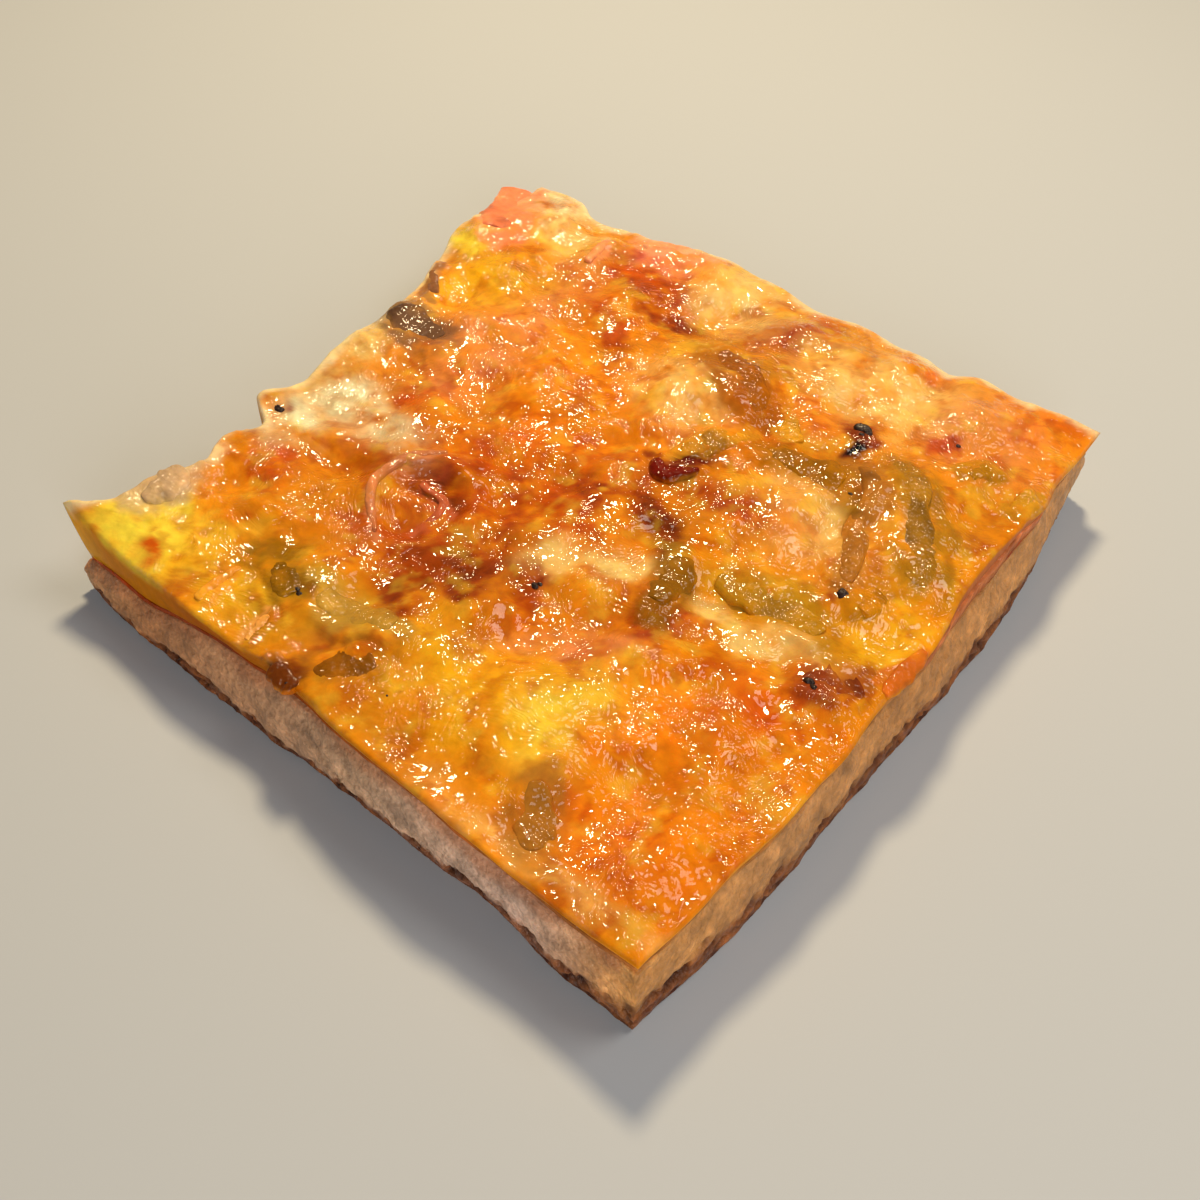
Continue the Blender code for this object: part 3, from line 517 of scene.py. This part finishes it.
def cheese_colour(x, y):
    """Golden cheese, browned and paled in patches whose edges are broken up by noise, with painted shade in
    the skin's hollows and painted light on its crests and along the back and left rims.
    """
    wx = x + 2.6 * cloud(x, y, 8, 101, 4)
    wy = y + 2.6 * cloud(x, y, 8, 102, 4)
    mottle = cloud(x, y, 4.5, 103, 4)
    golden = cheese_tone("golden")
    tone = np.tile(golden, (*np.shape(x), 1))
    for name, px, py, length, breadth, turn, strength in CHEESE_PATCHES:
        weight = patch_weight(wx, wy, px, py, length, breadth, turn) * strength
        weight = np.clip(weight * (1 + 0.7 * mottle), 0, 1)[..., None]
        tone = tone * (1 - weight) + cheese_tone(name) * weight
    blotch = ramp(cloud(wx, wy, 3.4, 111, 4), 0.0, 1.0)[..., None]
    tone = tone * (1 - 0.45 * blotch * np.array((0.45, 0.75, 1.0)))
    light = ramp(cloud(x, y, 4, 121, 4), 0.2, 1.1)[..., None]
    tone = tone + 0.25 * light * (cheese_tone("bright") - tone)
    # Painted shade and light: the colour is darkened in the hollows of the skin and lightened on its crests.
    relief = skin_relief(x, y)[2][..., None]
    tone = tone * (1 + 0.3 * np.clip(relief, -0.8, 0.8))
    u, v = rim_share(x, y)
    # Painted highlight: a pale band along the back and left rims, where light from behind catches the edge.
    back = np.minimum((1 - v) * RIM_SPAN, u * WIDTH) + 1.5 * mottle
    edge = (0.6 * np.exp(-(np.clip(back, 0, None) / 1.8) ** 2))[..., None]
    tone = tone + edge * (cheese_tone("pale") - tone)
    for px, py, size in CHAR_BITS:
        scorch = 0.75 * np.exp(-((wx - px) ** 2 + (wy - py) ** 2) / (1.7 * size) ** 2)[..., None]
        tone = tone + scorch * (cheese_tone("dark") - tone)
    tone = np.clip(golden + (tone - golden) * COLOUR_DEPTH, 0.001, 1)
    tone[..., 1] = np.maximum(tone[..., 1], BROWN_GREEN * tone[..., 0])
    close, _, stain = near_toppings(wx, wy, 0.5)
    tint = (0.8 * ramp(close, 0.05, 0.95) * np.clip(0.8 + 0.7 * mottle, 0, 1))[..., None]
    return tone * (1 - tint) + 1.1 * stain * tint


def placed(name, data):
    """New object in the scene."""
    made = bpy.data.objects.new(name, data)
    bpy.context.scene.collection.objects.link(made)
    return made


def mesh_piece(name, points, faces, kind, tones, replaces):
    """Mesh object from points in millimetres and faces, with a colour and a wetness for each point."""
    mesh = bpy.data.meshes.new(name)
    points = np.asarray(points, float) * MM
    mesh.vertices.add(len(points))
    mesh.vertices.foreach_set("co", points.ravel())
    faces = np.asarray(faces)
    mesh.loops.add(faces.size)
    mesh.polygons.add(len(faces))
    mesh.loops.foreach_set("vertex_index", faces.ravel())
    mesh.polygons.foreach_set("loop_start", np.arange(len(faces)) * faces.shape[1])
    mesh.update(calc_edges=True)
    mesh.shade_smooth()
    if tones is not None:
        layer = mesh.color_attributes.new("tone", "FLOAT_COLOR", "POINT")
        if tones.shape[1] == 3:
            tones = np.column_stack((tones, np.ones(len(tones))))
        layer.data.foreach_set("color", np.clip(tones, 0, 1).ravel())
    mesh.materials.append(kind)
    piece = placed(name, mesh)
    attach(piece, "root")
    if replaces:
        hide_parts(*replaces)
    return piece


def ring_places(cells):
    """(u, v) round the edge of the square, anticlockwise from the front left corner."""
    step = np.arange(cells) / cells
    zero, one = np.zeros(cells), np.ones(cells)
    return np.concatenate((step, one, 1 - step, zero)), np.concatenate((zero, step, one, 1 - step))


def ring_numbers(cells):
    """Numbers of a grid's edge points in the order of ring_places."""
    step = np.arange(cells)
    zero, last = 0 * step, 0 * step + cells
    i = np.concatenate((step, last, cells - step, zero))
    j = np.concatenate((zero, step, last, cells - step))
    return i * (cells + 1) + j


def length_run(place):
    """Length run so far along a row of plan points."""
    return np.concatenate(((0,), np.cumsum(np.hypot(*np.diff(place, axis=0).T))))


def ring_colours(table, cells):
    """Linear colours round the edge, in the order of ring_places, straight between those named."""
    step = np.arange(cells) / cells
    rows = []
    for side, share in (("front", step), ("right", step), ("back", 1 - step), ("left", 1 - step)):
        first, last = side_ends(side)
        places = [place for place, _ in table[side]]
        tones = np.array([hex_linear(text) for _, text in table[side]])
        at = first + share * (last - first)
        rows.append(np.column_stack([np.interp(at, places, tones[:, k]) for k in range(3)]))
    return np.vstack(rows)


def mixed(first, second, weight):
    """Two colours mixed by a weight from 0 to 1 for each point."""
    weight = np.clip(weight, 0, 1)[..., None]
    return first * (1 - weight) + second * weight


def band(lower, upper):
    """Quads between two closed rings of the same count, facing out."""
    return np.column_stack((lower, np.roll(lower, -1), np.roll(upper, -1), upper))


def ring_stack(rings):
    """Closed body from stacked rings, low to high, each end closed by quads folded onto one point."""
    count = len(rings[0])
    points = np.vstack([rings[0].mean(axis=0)] + rings + [rings[-1].mean(axis=0)])
    numbers = 1 + np.arange(len(rings) * count).reshape(len(rings), count)
    quads = np.vstack([band(a, b) for a, b in zip(numbers, numbers[1:])])
    first, last = numbers[0], numbers[-1]
    low = np.column_stack((np.roll(first, -1), first, np.zeros(count, int)))
    high = np.column_stack((last, np.roll(last, -1), np.full(count, len(points) - 1)))
    triangles = np.vstack((quads[:, [0, 1, 2]], quads[:, [0, 2, 3]], low, high))
    return points, triangles


def base_height(u, v):
    """Height of the bread's top: the sides' heights, dipping a little inside."""
    return side_heights(BASE_TOP, u, v) - INNER_DIP * inwardness(u, v)


def layer_level(u, v):
    """How far up the side the layers over the base meet, as a share of the rim's height."""
    return side_heights(BASE_TOP, u, v) / RIM_HEIGHT + LAYER_RAISE


def shrunk(u, v, share):
    """Places drawn towards the middle of the square."""
    return 0.5 + (u - 0.5) * share, 0.5 + (v - 0.5) * share


def pore_depth(place, z):
    """Depth of the large pores at points of the crumb wall: half an egg for each."""
    depth = np.zeros(len(z))
    for px, py, pz, along, up, deep in PORES:
        side = 1 if abs(px) > abs(py) else 0
        off = ((place[:, side] - (px, py)[side]) / along) ** 2 + ((z - pz) / up) ** 2
        near = np.hypot(place[:, 0] - px, place[:, 1] - py) < 3 * along
        depth = np.maximum(depth, deep * near * np.sqrt(np.clip(1 - off, 0, 1)))
    return depth


def make_bread(kind):
    """Bread base: a wall of torn, pored crumb over a browned lower edge, as rings from underside to top."""
    u, v = ring_places(CHEESE_CELLS)
    high, lift = base_height(u, v), side_heights(FOOT_LIFT, u, v)
    foot = plan(u, v, 0)
    run = length_run(foot)
    porous = side_heights(POROUS_BAND, u, v)
    crumb = ring_colours(CRUMB_COLOURS, CHEESE_CELLS)
    crust_dark, crust_light = (hex_linear(text) for text in CRUST_COLOURS)
    rings = [np.column_stack((foot * share, 0 * u)) for share in (0.4, 0.8, 0.93, 0.962)]
    tones = [np.tile(crust_light, (len(u), 1)) for _ in rings]
    for share in np.linspace(0, 1, CRUMB_ROWS):
        z = lift + share * (high - lift)
        place = plan(u, v, share * high / RIM_HEIGHT)
        out = place / np.linalg.norm(place, axis=1, keepdims=True)
        swell = 2.8 * share * (1 - share) - LAYER_SETBACK * share ** 3
        swell = swell + 0.35 * cloud(run, 1.3 * z, 9, 201, 3) + 0.12 * cloud(run, z, 1.4, 202, 2)
        above = z - lift + 0.8 * cloud(run, z, 3.5, 206, 3)
        brown = 1 - ramp(above, 0.7 * porous, 1.4 * porous)
        large = pits(run, 1.5 * z, 2.6, 203, 0.65) * brown
        small = pits(run, 1.2 * z, 1.6, 204, 0.45)
        hole = pore_depth(place, z)
        dent = 1.0 * large + (0.3 + 0.35 * brown) * small + hole
        edge = ramp(share, 0, 0.06) * ramp(share, 1, 0.93)
        rings.append(np.column_stack((place + out * (swell - dent * edge)[:, None], z)))
        tone = crumb * (1 + 0.22 * cloud(run, 1.3 * z, 4, 207, 4))[:, None]
        below = high - z + 0.9 * cloud(run, 0 * run, 8, 208, 3)
        not_right = u < 0.98
        tone = mixed(tone, hex_linear(STAIN_COLOUR), 0.7 * (1 - ramp(below, 0.4, 3.0)) * not_right)
        crust = mixed(crust_dark, crust_light, 0.5 + 0.6 * cloud(run, 1.4 * z, 1.8, 209, 3))
        tone = mixed(tone, crust, 0.9 * brown)
        # Pits and pores darkened, more where deeper: charred crumb and painted shade in the holes.
        tones.append(mixed(tone, hex_linear(PORE_CHAR_AND_SHADE), 0.85 * large + 0.25 * small * brown + 0.55 * hole))
    for share in (0.97, 0.8, 0.4):
        a, b = shrunk(u, v, share)
        rings.append(np.column_stack((plan(a, b, layer_level(a, b)), base_height(a, b))))
        tones.append(crumb)
    points, faces = ring_stack(rings)
    tones = np.vstack((tones[0][:1], *tones, tones[-1][:1]))
    return mesh_piece("bread_crumb", points, faces, kind, tones, ["bread_base"])


def make_sauce(kind):
    """Tomato layer: a thin uneven slab that oozes a little out of the cuts."""
    u, v = ring_places(CHEESE_CELLS)
    run = length_run(plan(u, v, 0))
    tone = ring_colours(SAUCE_COLOURS, CHEESE_CELLS) * (1 + 0.25 * cloud(run, 0 * run, 3, 213, 3))[:, None]
    inset = 1 - 2 * (LAYER_SETBACK - 0.1) / WIDTH
    rings = []
    for share, height in ((0.6, 0.0), (0.97, 0.0), (1, -0.2), (1, 0.2), (1, 0.6), (1, 1.0), (0.97, 1.1),
                          (0.6, 1.1)):
        a, b = shrunk(u, v, share * inset)
        place = plan(a, b, layer_level(a, b))
        out = place / np.linalg.norm(place, axis=1, keepdims=True)
        ooze = (share == 1) * (0.2 * cloud(run, 0 * run, 7, 211, 3) + 0.15 * (0 < height < 1))
        z = base_height(a, b) + height * (SAUCE_THICKNESS + 0.2 * cloud(run, 0 * run, 11, 212, 3))
        rings.append(np.column_stack((place + out * np.reshape(ooze, (-1, 1)), z)))
    points, faces = ring_stack(rings)
    tones = np.vstack([tone[:1]] + [tone] * len(rings) + [tone[:1]])
    return mesh_piece("tomato_layer", points, faces, kind, tones, ["tomato_sauce"])


def ham_share(u, v):
    """How thick the ham is at (u, v), from 0 outside it to 1 in the right cut."""
    first, last = side_ends("right")
    y = first + v * (last - first)
    middle = (HAM_ENDS[0] + HAM_ENDS[1]) / 2
    lengthwise = 1 - ((y - middle) / (HAM_ENDS[1] - middle)) ** 2
    inwards = 1 - (1 - u) * (RIM["right"][-1][0] - RIM["left"][0][0]) / HAM_REACH
    return np.sqrt(np.clip(lengthwise, 0, 1)) * np.clip(1.6 * inwards, 0, 1)


def cheese_low(u, v):
    """Underside of the cheese: over the bread, the tomato and the ham."""
    return base_height(u, v) + SAUCE_THICKNESS - 0.15 + (HAM_THICKNESS + 0.2) * ham_share(u, v)


def make_cheese(kind):
    """Cheese: a fine skin, a smooth cut edge that sags a little over the layers below, and an underside."""
    cells = CHEESE_CELLS
    steps = 0.004 + 0.992 * np.arange(cells + 1) / cells
    u, v = np.meshgrid(steps, steps, indexing="ij")
    place = plan(u, v, 1)
    x, y = place[..., 0], place[..., 1]
    top = np.dstack((place, fine_cheese_height(x, y))).reshape(-1, 3)
    tone = np.column_stack((cheese_colour(x, y).reshape(-1, 3), np.ones(len(top))))
    u, v = ring_places(cells)
    rim = plan(u, v, 1)
    out = rim / np.linalg.norm(rim, axis=1, keepdims=True)
    high = fine_cheese_height(rim[:, 0], rim[:, 1])
    rim_tone = cheese_colour(rim[:, 0], rim[:, 1])
    inset = 1 - 2 * LAYER_SETBACK / WIDTH
    a, b = shrunk(u, v, inset)
    low_place, low = plan(a, b, layer_level(a, b)), cheese_low(u, v)
    run = length_run(rim)
    wall_tone = ring_colours(WALL_COLOURS, cells) * (1 + 0.12 * cloud(run, 0 * run, 8, 222, 2))[:, None]
    low = low + 0.25 * cloud(run, 0 * run, 6, 223, 3)
    rings, tones = [], []
    for share in (0.05, 0.14, 0.28, 0.42, 0.56, 0.7, 0.85, 1.0):
        around = 0.55 * np.sqrt(share * (1 - share)) + 0.12 * cloud(run, 3 * share + 0 * run, 9, 221, 2)
        flat = rim * (1 - share) + low_place * share + out * around[:, None]
        z = high - 0.2 + (low - high + 0.2) * share
        rings.append(np.column_stack((flat, z)))
        shade = mixed(rim_tone, wall_tone * (1 - 0.15 * share), ramp(share, 0.0, 0.25) + 0 * run)
        tones.append(np.column_stack((shade, np.full(len(u), EDGE_WETNESS))))
    for share in (0.96, 0.7, 0.3):
        a, b = shrunk(u, v, share * inset)
        rings.append(np.column_stack((plan(a, b, layer_level(a, b)), cheese_low(a, b))))
        tones.append(np.column_stack((wall_tone, np.full(len(u), EDGE_WETNESS))))
    count = len(u)
    points = np.vstack([top] + rings + [rings[-1].mean(axis=0)])
    numbers = len(top) + np.arange(len(rings) * count).reshape(len(rings), count)
    corner = np.arange(cells)[:, None] * (cells + 1) + np.arange(cells)
    quads = [np.stack((corner, corner + cells + 1, corner + cells + 2, corner + 1), -1).reshape(-1, 4)]
    quads.append(band(numbers[0], ring_numbers(cells)))
    quads += [band(b, a) for a, b in zip(numbers, numbers[1:])]
    quads = np.vstack(quads)
    last = numbers[-1]
    cap = np.column_stack((np.roll(last, -1), last, np.full(count, len(points) - 1)))
    faces = np.vstack((quads[:, [0, 1, 2]], quads[:, [0, 2, 3]], cap))
    tones = np.vstack([tone] + tones + [tones[-1][:1]])
    return mesh_piece("melted_cheese", points, faces, kind, tones, ["cheese"])


def topping_tone(tone, x, y, seed):
    """A topping's tone, a little lighter and darker in soft blotches."""
    main = hex_linear(tone)
    pale = ramp(cloud(x, y, 6, 400 + seed, 3), 0.0, 1.0)[:, None]
    dark = ramp(cloud(x, y, 6, 440 + seed, 3), 0.1, 1.0)[:, None]
    return main * (1 + 0.4 * pale) * (1 - 0.4 * dark)


def make_topping(number, name, tone, kind, thickness, proud, path, skins):
    """Topping: a flat squared section carried along its course, one edge raised, with blunt ends."""
    share, x, y, width, ahead = strip_course(path, STRIP_RINGS)
    narrow = np.maximum((1 - np.abs(2 * share - 1) ** 6) ** (1 / 6), 0.1)
    turns = 2 * np.pi * np.arange(STRIP_SIDES) / STRIP_SIDES
    along = share[:, None] * 40 + 50 * number + 0 * turns
    ragged = 1 + 0.2 * cloud(along, 30 * (np.cos(turns) > 0) + 0 * along, 9, 301, 3)
    half = width[:, None] * narrow[:, None] / 2 * TOPPING_SPREAD * ragged
    across = np.sign(np.cos(turns)) * np.abs(np.cos(turns)) ** 0.7 * half
    rise = np.sign(np.sin(turns)) * np.abs(np.sin(turns)) ** 0.85 * thickness / 2 * np.sqrt(narrow)[:, None]
    px, py = x[:, None] - ahead[:, 1:] * across, y[:, None] + ahead[:, :1] * across
    level = 0.5 * cheese_height(x, y)[:, None] + 0.5 * cheese_height(px, py)
    level = level + 0.4 * skin_relief(px, py)[2]
    tilt = 0.35 * across / np.maximum(half, 0.1) * np.cos(along / 14 + 2.3 * number)
    crinkle = 0.2 * cloud(px, py, 2.4, 310 + number, 3)
    z = level + 0.72 * proud - thickness / 2 + rise + (tilt + crinkle) * (np.sin(turns) > -0.2)
    points, faces = ring_stack([np.column_stack((px[k], py[k], z[k]))[::-1] for k in range(len(share))])
    bare = ramp(np.concatenate(((0,), (np.sin(turns)[::-1] + 0 * px).ravel(), (0,))), 0.1, 0.75)
    x, y = points[:, 0], points[:, 1]
    smear = ramp(cloud(x, y, 5, 320, 3), 0.2, 1.0)
    under, own = cheese_colour(x, y), topping_tone(tone, x, y, number)
    dotted = 0.35 + 0.65 * ramp(cloud(x, y, 9, 330, 2), -0.3, 0.3)
    tones = np.column_stack((mixed(under, own, bare * (1 - 0.5 * smear)), dotted))
    return mesh_piece(f"{name}_cooked", points, faces, skins[kind], tones, [name])


def make_ham_slice(kind):
    """Ham in the right cut: a slab between sauce and cheese with a wavy outer edge."""
    first, last = side_ends("right")
    v = (np.linspace(HAM_ENDS[0] + 0.5, HAM_ENDS[1] - 0.5, HAM_ROWS) - first) / (last - first)
    inset = LAYER_SETBACK / WIDTH
    u = np.linspace(1 - 0.85 * HAM_REACH / WIDTH, 1, HAM_COLUMNS)
    loops = []
    for height, order in ((0.0, slice(None)), (1.0, slice(None, None, -1))):
        a, b = np.meshgrid(u[order], v)
        place = plan(inset + (1 - 2 * inset) * a, b, layer_level(a, b))
        z = base_height(a, b) + SAUCE_THICKNESS - 0.2 + height * HAM_THICKNESS * ham_share(a, b)
        bulge = 0.45 + 0.25 * cloud(place[..., 1], 0 * z, 6, 501, 3)
        place = place + np.dstack((bulge * (u[order] > 0.999)[None, :], 0 * z))
        loops.append(np.dstack((place, z)))
    points, faces = ring_stack(list(np.concatenate(loops, axis=1)))
    tones = topping_tone(HAM_CUT_COLOUR, 2 * points[:, 1], 5 * points[:, 2], 3)
    return mesh_piece("ham_slice_cut", points, faces, kind, tones, ["ham_slice"])


def make_char(kind):
    """Charred specks: low ragged lumps, each a sphere pushed in and out by noise and sunk in the skin."""
    turn = 2 * np.pi * np.arange(CHAR_SIDES) / CHAR_SIDES
    tilt = np.linspace(0.15, np.pi - 0.15, CHAR_RINGS)[::-1]
    all_points, all_faces, first = [], [], 0
    for number, (x, y, size) in enumerate(CHAR_BITS):
        rings = []
        for angle in tilt:
            noise = cloud(2.2 * np.cos(turn) + 9 * number, 2.2 * np.sin(turn) + 3 * angle, 2, 601, 3)
            radius = size * (1 + 0.35 * noise)
            rings.append(np.column_stack((x + radius * np.sin(angle) * np.cos(turn),
                                          y + 0.75 * radius * np.sin(angle) * np.sin(turn),
                                          0.55 * radius * np.cos(angle) - 0.1 * size)))
        points, faces = ring_stack(rings)
        points[:, 2] += fine_cheese_height(np.array([x]), np.array([y]))[0]
        all_points.append(points)
        all_faces.append(faces + first)
        first += len(points)
    points, faces = np.vstack(all_points), np.vstack(all_faces)
    return mesh_piece("charred_specks", points, faces, kind, None, ())


def add(tree, node_kind, inputs=None, **settings):
    """Add a node with its settings; each input is a value or another node's output."""
    made = tree.nodes.new(node_kind)
    for name, value in settings.items():
        setattr(made, name, value)
    for key, value in (inputs or {}).items():
        if isinstance(value, bpy.types.NodeSocket):
            tree.links.new(value, made.inputs[key])
        else:
            made.inputs[key].default_value = value
    return made


def new_material(name, finish):
    """Material with its shader set to a finish, and places on the object in millimetres for patterns."""
    made = bpy.data.materials.new(name)
    made.use_nodes = True
    tree = made.node_tree
    tree.nodes.clear()
    shader = add(tree, "ShaderNodeBsdfPrincipled", finish)
    output = add(tree, "ShaderNodeOutputMaterial", {"Surface": shader.outputs[0]})
    output.target = "ALL"
    place = add(tree, "ShaderNodeTexCoord")
    in_mm = add(tree, "ShaderNodeMapping", {"Vector": place.outputs["Object"], "Scale": (1000, 1000, 1000)})
    return made, tree, shader, in_mm.outputs[0]


def grain(tree, place, size, detail):
    """Noise with grains of a size in millimetres."""
    made = add(tree, "ShaderNodeTexNoise", {"Vector": place, "Scale": 1 / size, "Detail": detail,
                                            "Roughness": 0.55})
    return made.outputs["Fac"]


def domes(tree, place, size):
    """Small rounded bumps packed side by side, of a size in millimetres."""
    made = add(tree, "ShaderNodeTexVoronoi", {"Vector": place, "Scale": 1 / size, "Smoothness": 0.4},
               feature="SMOOTH_F1")
    return made.outputs["Distance"]


def spread(tree, value, low, high, first=0.0, last=1.0):
    """A value between low and high carried over to between first and last."""
    return add(tree, "ShaderNodeMapRange", {0: value, 1: low, 2: high, 3: first, 4: last}).outputs[0]


def times(tree, value, factor):
    """Product of two values."""
    return add(tree, "ShaderNodeMath", {0: value, 1: factor}, operation="MULTIPLY").outputs[0]


def times_plus(tree, value, factor, more):
    """Product of two values, and a third added."""
    return add(tree, "ShaderNodeMath", {0: value, 1: factor, 2: more}, operation="MULTIPLY_ADD").outputs[0]


def take_tone(tree, shader, speckle):
    """Base colour from the points' colour times a speckle; gives back the points' wetness."""
    tone = add(tree, "ShaderNodeVertexColor", layer_name="tone")
    base = add(tree, "ShaderNodeVectorMath", {0: tone.outputs[0], 1: speckle}, operation="MULTIPLY")
    tree.links.new(base.outputs[0], shader.inputs["Base Color"])
    return tone.outputs["Alpha"]


def wet_skin(tree, shader, height, film_depth, skin_depth):
    """Bumps of a height pattern, deep in the wet film and shallow in what lies under it, in millimetres."""
    for socket, depth in (("Coat Normal", film_depth), ("Normal", skin_depth)):
        bump = add(tree, "ShaderNodeBump", {"Height": height, "Strength": 1.0, "Distance": depth * MM})
        tree.links.new(bump.outputs[0], shader.inputs[socket])


def drawn_out(tree, place, turn, long_way, short_way):
    """Places scaled so that a pattern of size 1 is drawn out along a direction given in degrees."""
    way = add(tree, "ShaderNodeMapping", {"Vector": place, "Rotation": (0, 0, np.radians(turn)),
                                          "Scale": (long_way, short_way, short_way)}, vector_type="TEXTURE")
    return way.outputs[0]


def cheese_material():
    """Melted cheese, oily: soft and slightly see-through under a wet film that glints on every wrinkle."""
    made, tree, shader, place = new_material("melted_cheese", {
        "Roughness": 0.45, "Specular IOR Level": 0.02, "Subsurface Weight": 0.2,
        "Subsurface Radius": (1.0, 0.45, 0.12), "Subsurface Scale": 0.0025,
        "Coat Roughness": 0.05, "Coat IOR": 1.5
    })
    wetness = take_tone(tree, shader, spread(tree, grain(tree, place, 2.2, 4), 0.3, 0.72, 0.86, 1.12))
    drift = add(tree, "ShaderNodeTexNoise", {"Vector": place, "Scale": 1 / 14, "Detail": 2.0})
    warped = add(tree, "ShaderNodeVectorMath", {0: drift.outputs["Color"], 1: (20, 20, 20), 2: place},
                 operation="MULTIPLY_ADD").outputs[0]
    zone = spread(tree, grain(tree, place, 17, 1), 0.42, 0.58)
    pucker = add(tree, "ShaderNodeMix", {0: zone,
                                         2: grain(tree, drawn_out(tree, warped, 25, 1.9, 0.95), 1.0, 0.3),
                                         3: grain(tree, drawn_out(tree, warped, 110, 1.5, 0.9), 1.0, 0.3)})
    beaded = spread(tree, grain(tree, place, 11, 2), 0.42, 0.6, 0.0, 0.45)
    dotted = times_plus(tree, domes(tree, place, 0.95), beaded, pucker.outputs[0])
    calm = spread(tree, grain(tree, place, 8, 2), 0.36, 0.56, 0.25, 1.0)
    wet_skin(tree, shader, times(tree, times(tree, dotted, calm), wetness), 0.65, 0.08)
    wet = spread(tree, grain(tree, place, 7.0, 3), 0.35, 0.55, 0.45, 1.0)
    tree.links.new(times(tree, wet, wetness), shader.inputs["Coat Weight"])
    return made


def topping_material(name, roughness, coat, fineness):
    """Roasted vegetable, ham or tomato: its own smooth tones under a film of fat, beaded where it is wet."""
    made, tree, shader, place = new_material(name, {
        "Roughness": roughness, "Specular IOR Level": 0.02, "Subsurface Weight": 0.15,
        "Subsurface Radius": (1.0, 0.6, 0.1), "Subsurface Scale": 0.0015,
        "Coat Weight": coat, "Coat Roughness": 0.06
    })
    wetness = take_tone(tree, shader, spread(tree, grain(tree, place, 1.6, 4), 0.3, 0.75, 0.85, 1.15))
    beads = times(tree, domes(tree, place, fineness), wetness)
    wet_skin(tree, shader, times_plus(tree, grain(tree, place, 1.6, 1), 0.7, beads), 0.6, 0.15)
    return made


def crumb_material():
    """Baked bread crumb: torn and porous, moist enough to glitter on its cell walls."""
    made, tree, shader, place = new_material("baked_crumb", {
        "Roughness": 0.6, "Specular IOR Level": 0.2, "Subsurface Weight": 0.2,
        "Subsurface Radius": (1.0, 0.6, 0.35), "Subsurface Scale": 0.0015,
        "Coat Weight": 0.5, "Coat Roughness": 0.15
    })
    speck = spread(tree, grain(tree, place, 1.1, 3), 0.3, 0.7, 0.84, 1.16)
    softer = spread(tree, grain(tree, place, 4.0, 3), 0.35, 0.65, 0.8, 1.2)
    take_tone(tree, shader, times(tree, speck, softer))
    cells = times_plus(tree, domes(tree, place, 0.85), 1.0, grain(tree, place, 0.5, 2))
    wet_skin(tree, shader, cells, 0.5, 0.2)
    return made


def charred_material():
    """Charred crust: nearly black, dry and grainy, with a faint shine of fat."""
    made, tree, shader, place = new_material("charred_crust", {"Roughness": 0.5, "Coat Weight": 0.12})
    noise = grain(tree, place, 0.8, 4)
    light, dark = (colour(text) for text in CHAR_COLOURS)
    base = add(tree, "ShaderNodeMix", {0: noise, 6: dark, 7: light}, data_type="RGBA")
    tree.links.new(base.outputs[2], shader.inputs["Base Color"])
    bump = add(tree, "ShaderNodeBump", {"Height": noise, "Strength": 0.5, "Distance": 0.0004})
    tree.links.new(bump.outputs[0], shader.inputs["Normal"])
    return made


def make_camera():
    """Camera looking down the slice's front corner: heading about Z, then pitch, then roll."""
    lens = bpy.data.cameras.new("camera")
    lens.lens = CAMERA_LENS
    lens.sensor_width = SENSOR_WIDTH
    camera = placed("camera", lens)
    turn = (Matrix.Rotation(np.radians(CAMERA_HEADING), 4, "Z")
            @ Matrix.Rotation(np.radians(90 - CAMERA_PITCH), 4, "X")
            @ Matrix.Rotation(np.radians(CAMERA_ROLL), 4, "Z"))
    camera.matrix_world = Matrix.Translation(Vector(CAMERA_AT) * MM) @ turn
    bpy.context.scene.camera = camera


def make_light(name, place, size, power, tint):
    """Round lamp at a place, pointing at the slice."""
    lamp = bpy.data.lights.new(name, "AREA")
    lamp.shape = "DISK"
    lamp.size = size * MM
    lamp.energy = power
    lamp.color = hex_linear(tint)
    holder = placed(name, lamp)
    holder.rotation_euler = (Vector(place) - Vector(LAMP_AIM)).to_track_quat("Z", "Y").to_euler()
    holder.location = Vector(place) * MM


def make_floor():
    """Plain, pale and matt studio floor that catches the slice's shadow."""
    mesh = bpy.data.meshes.new("floor")
    half = FLOOR_HALF * MM
    mesh.from_pydata([(-half, -half, 0), (half, -half, 0), (half, half, 0), (-half, half, 0)], [],
                     [(0, 1, 2, 3)])
    floor = placed("floor", mesh)
    matt = new_material("pale_floor", {"Base Color": colour(FLOOR_COLOUR), "Roughness": 0.8})[0]
    mesh.materials.append(matt)


def make_world():
    """Faint even light from all round."""
    world = bpy.data.worlds.new("studio")
    world.use_nodes = True
    light = world.node_tree.nodes["Background"]
    light.inputs[0].default_value = colour(WORLD_COLOUR)
    light.inputs[1].default_value = WORLD_STRENGTH
    bpy.context.scene.world = world
    bpy.context.scene.view_settings.view_transform = "Standard"


def main():
    """Dress every solid, then add the char, camera, lamps, floor and world."""
    skins = {
        "pepper": topping_material("roasted_pepper", 0.3, 0.8, 0.9),
        "browned": topping_material("charred_pepper", 0.35, 0.5, 1.1),
        "ham": topping_material("cooked_ham", 0.4, 0.3, 1.4),
        "mushroom": topping_material("fried_mushroom", 0.4, 0.5, 1.1),
        "onion": topping_material("roasted_onion", 0.25, 0.8, 1.1),
    }
    make_bread(crumb_material())
    make_sauce(topping_material("tomato_sauce", 0.4, 0.3, 1.2))
    make_ham_slice(skins["ham"])
    make_cheese(cheese_material())
    for number, row in enumerate(TOPPINGS):
        make_topping(number, *row, skins)
    make_char(charred_material())
    make_camera()
    for lamp in LAMPS:
        make_light(*lamp)
    make_floor()
    make_world()


main()
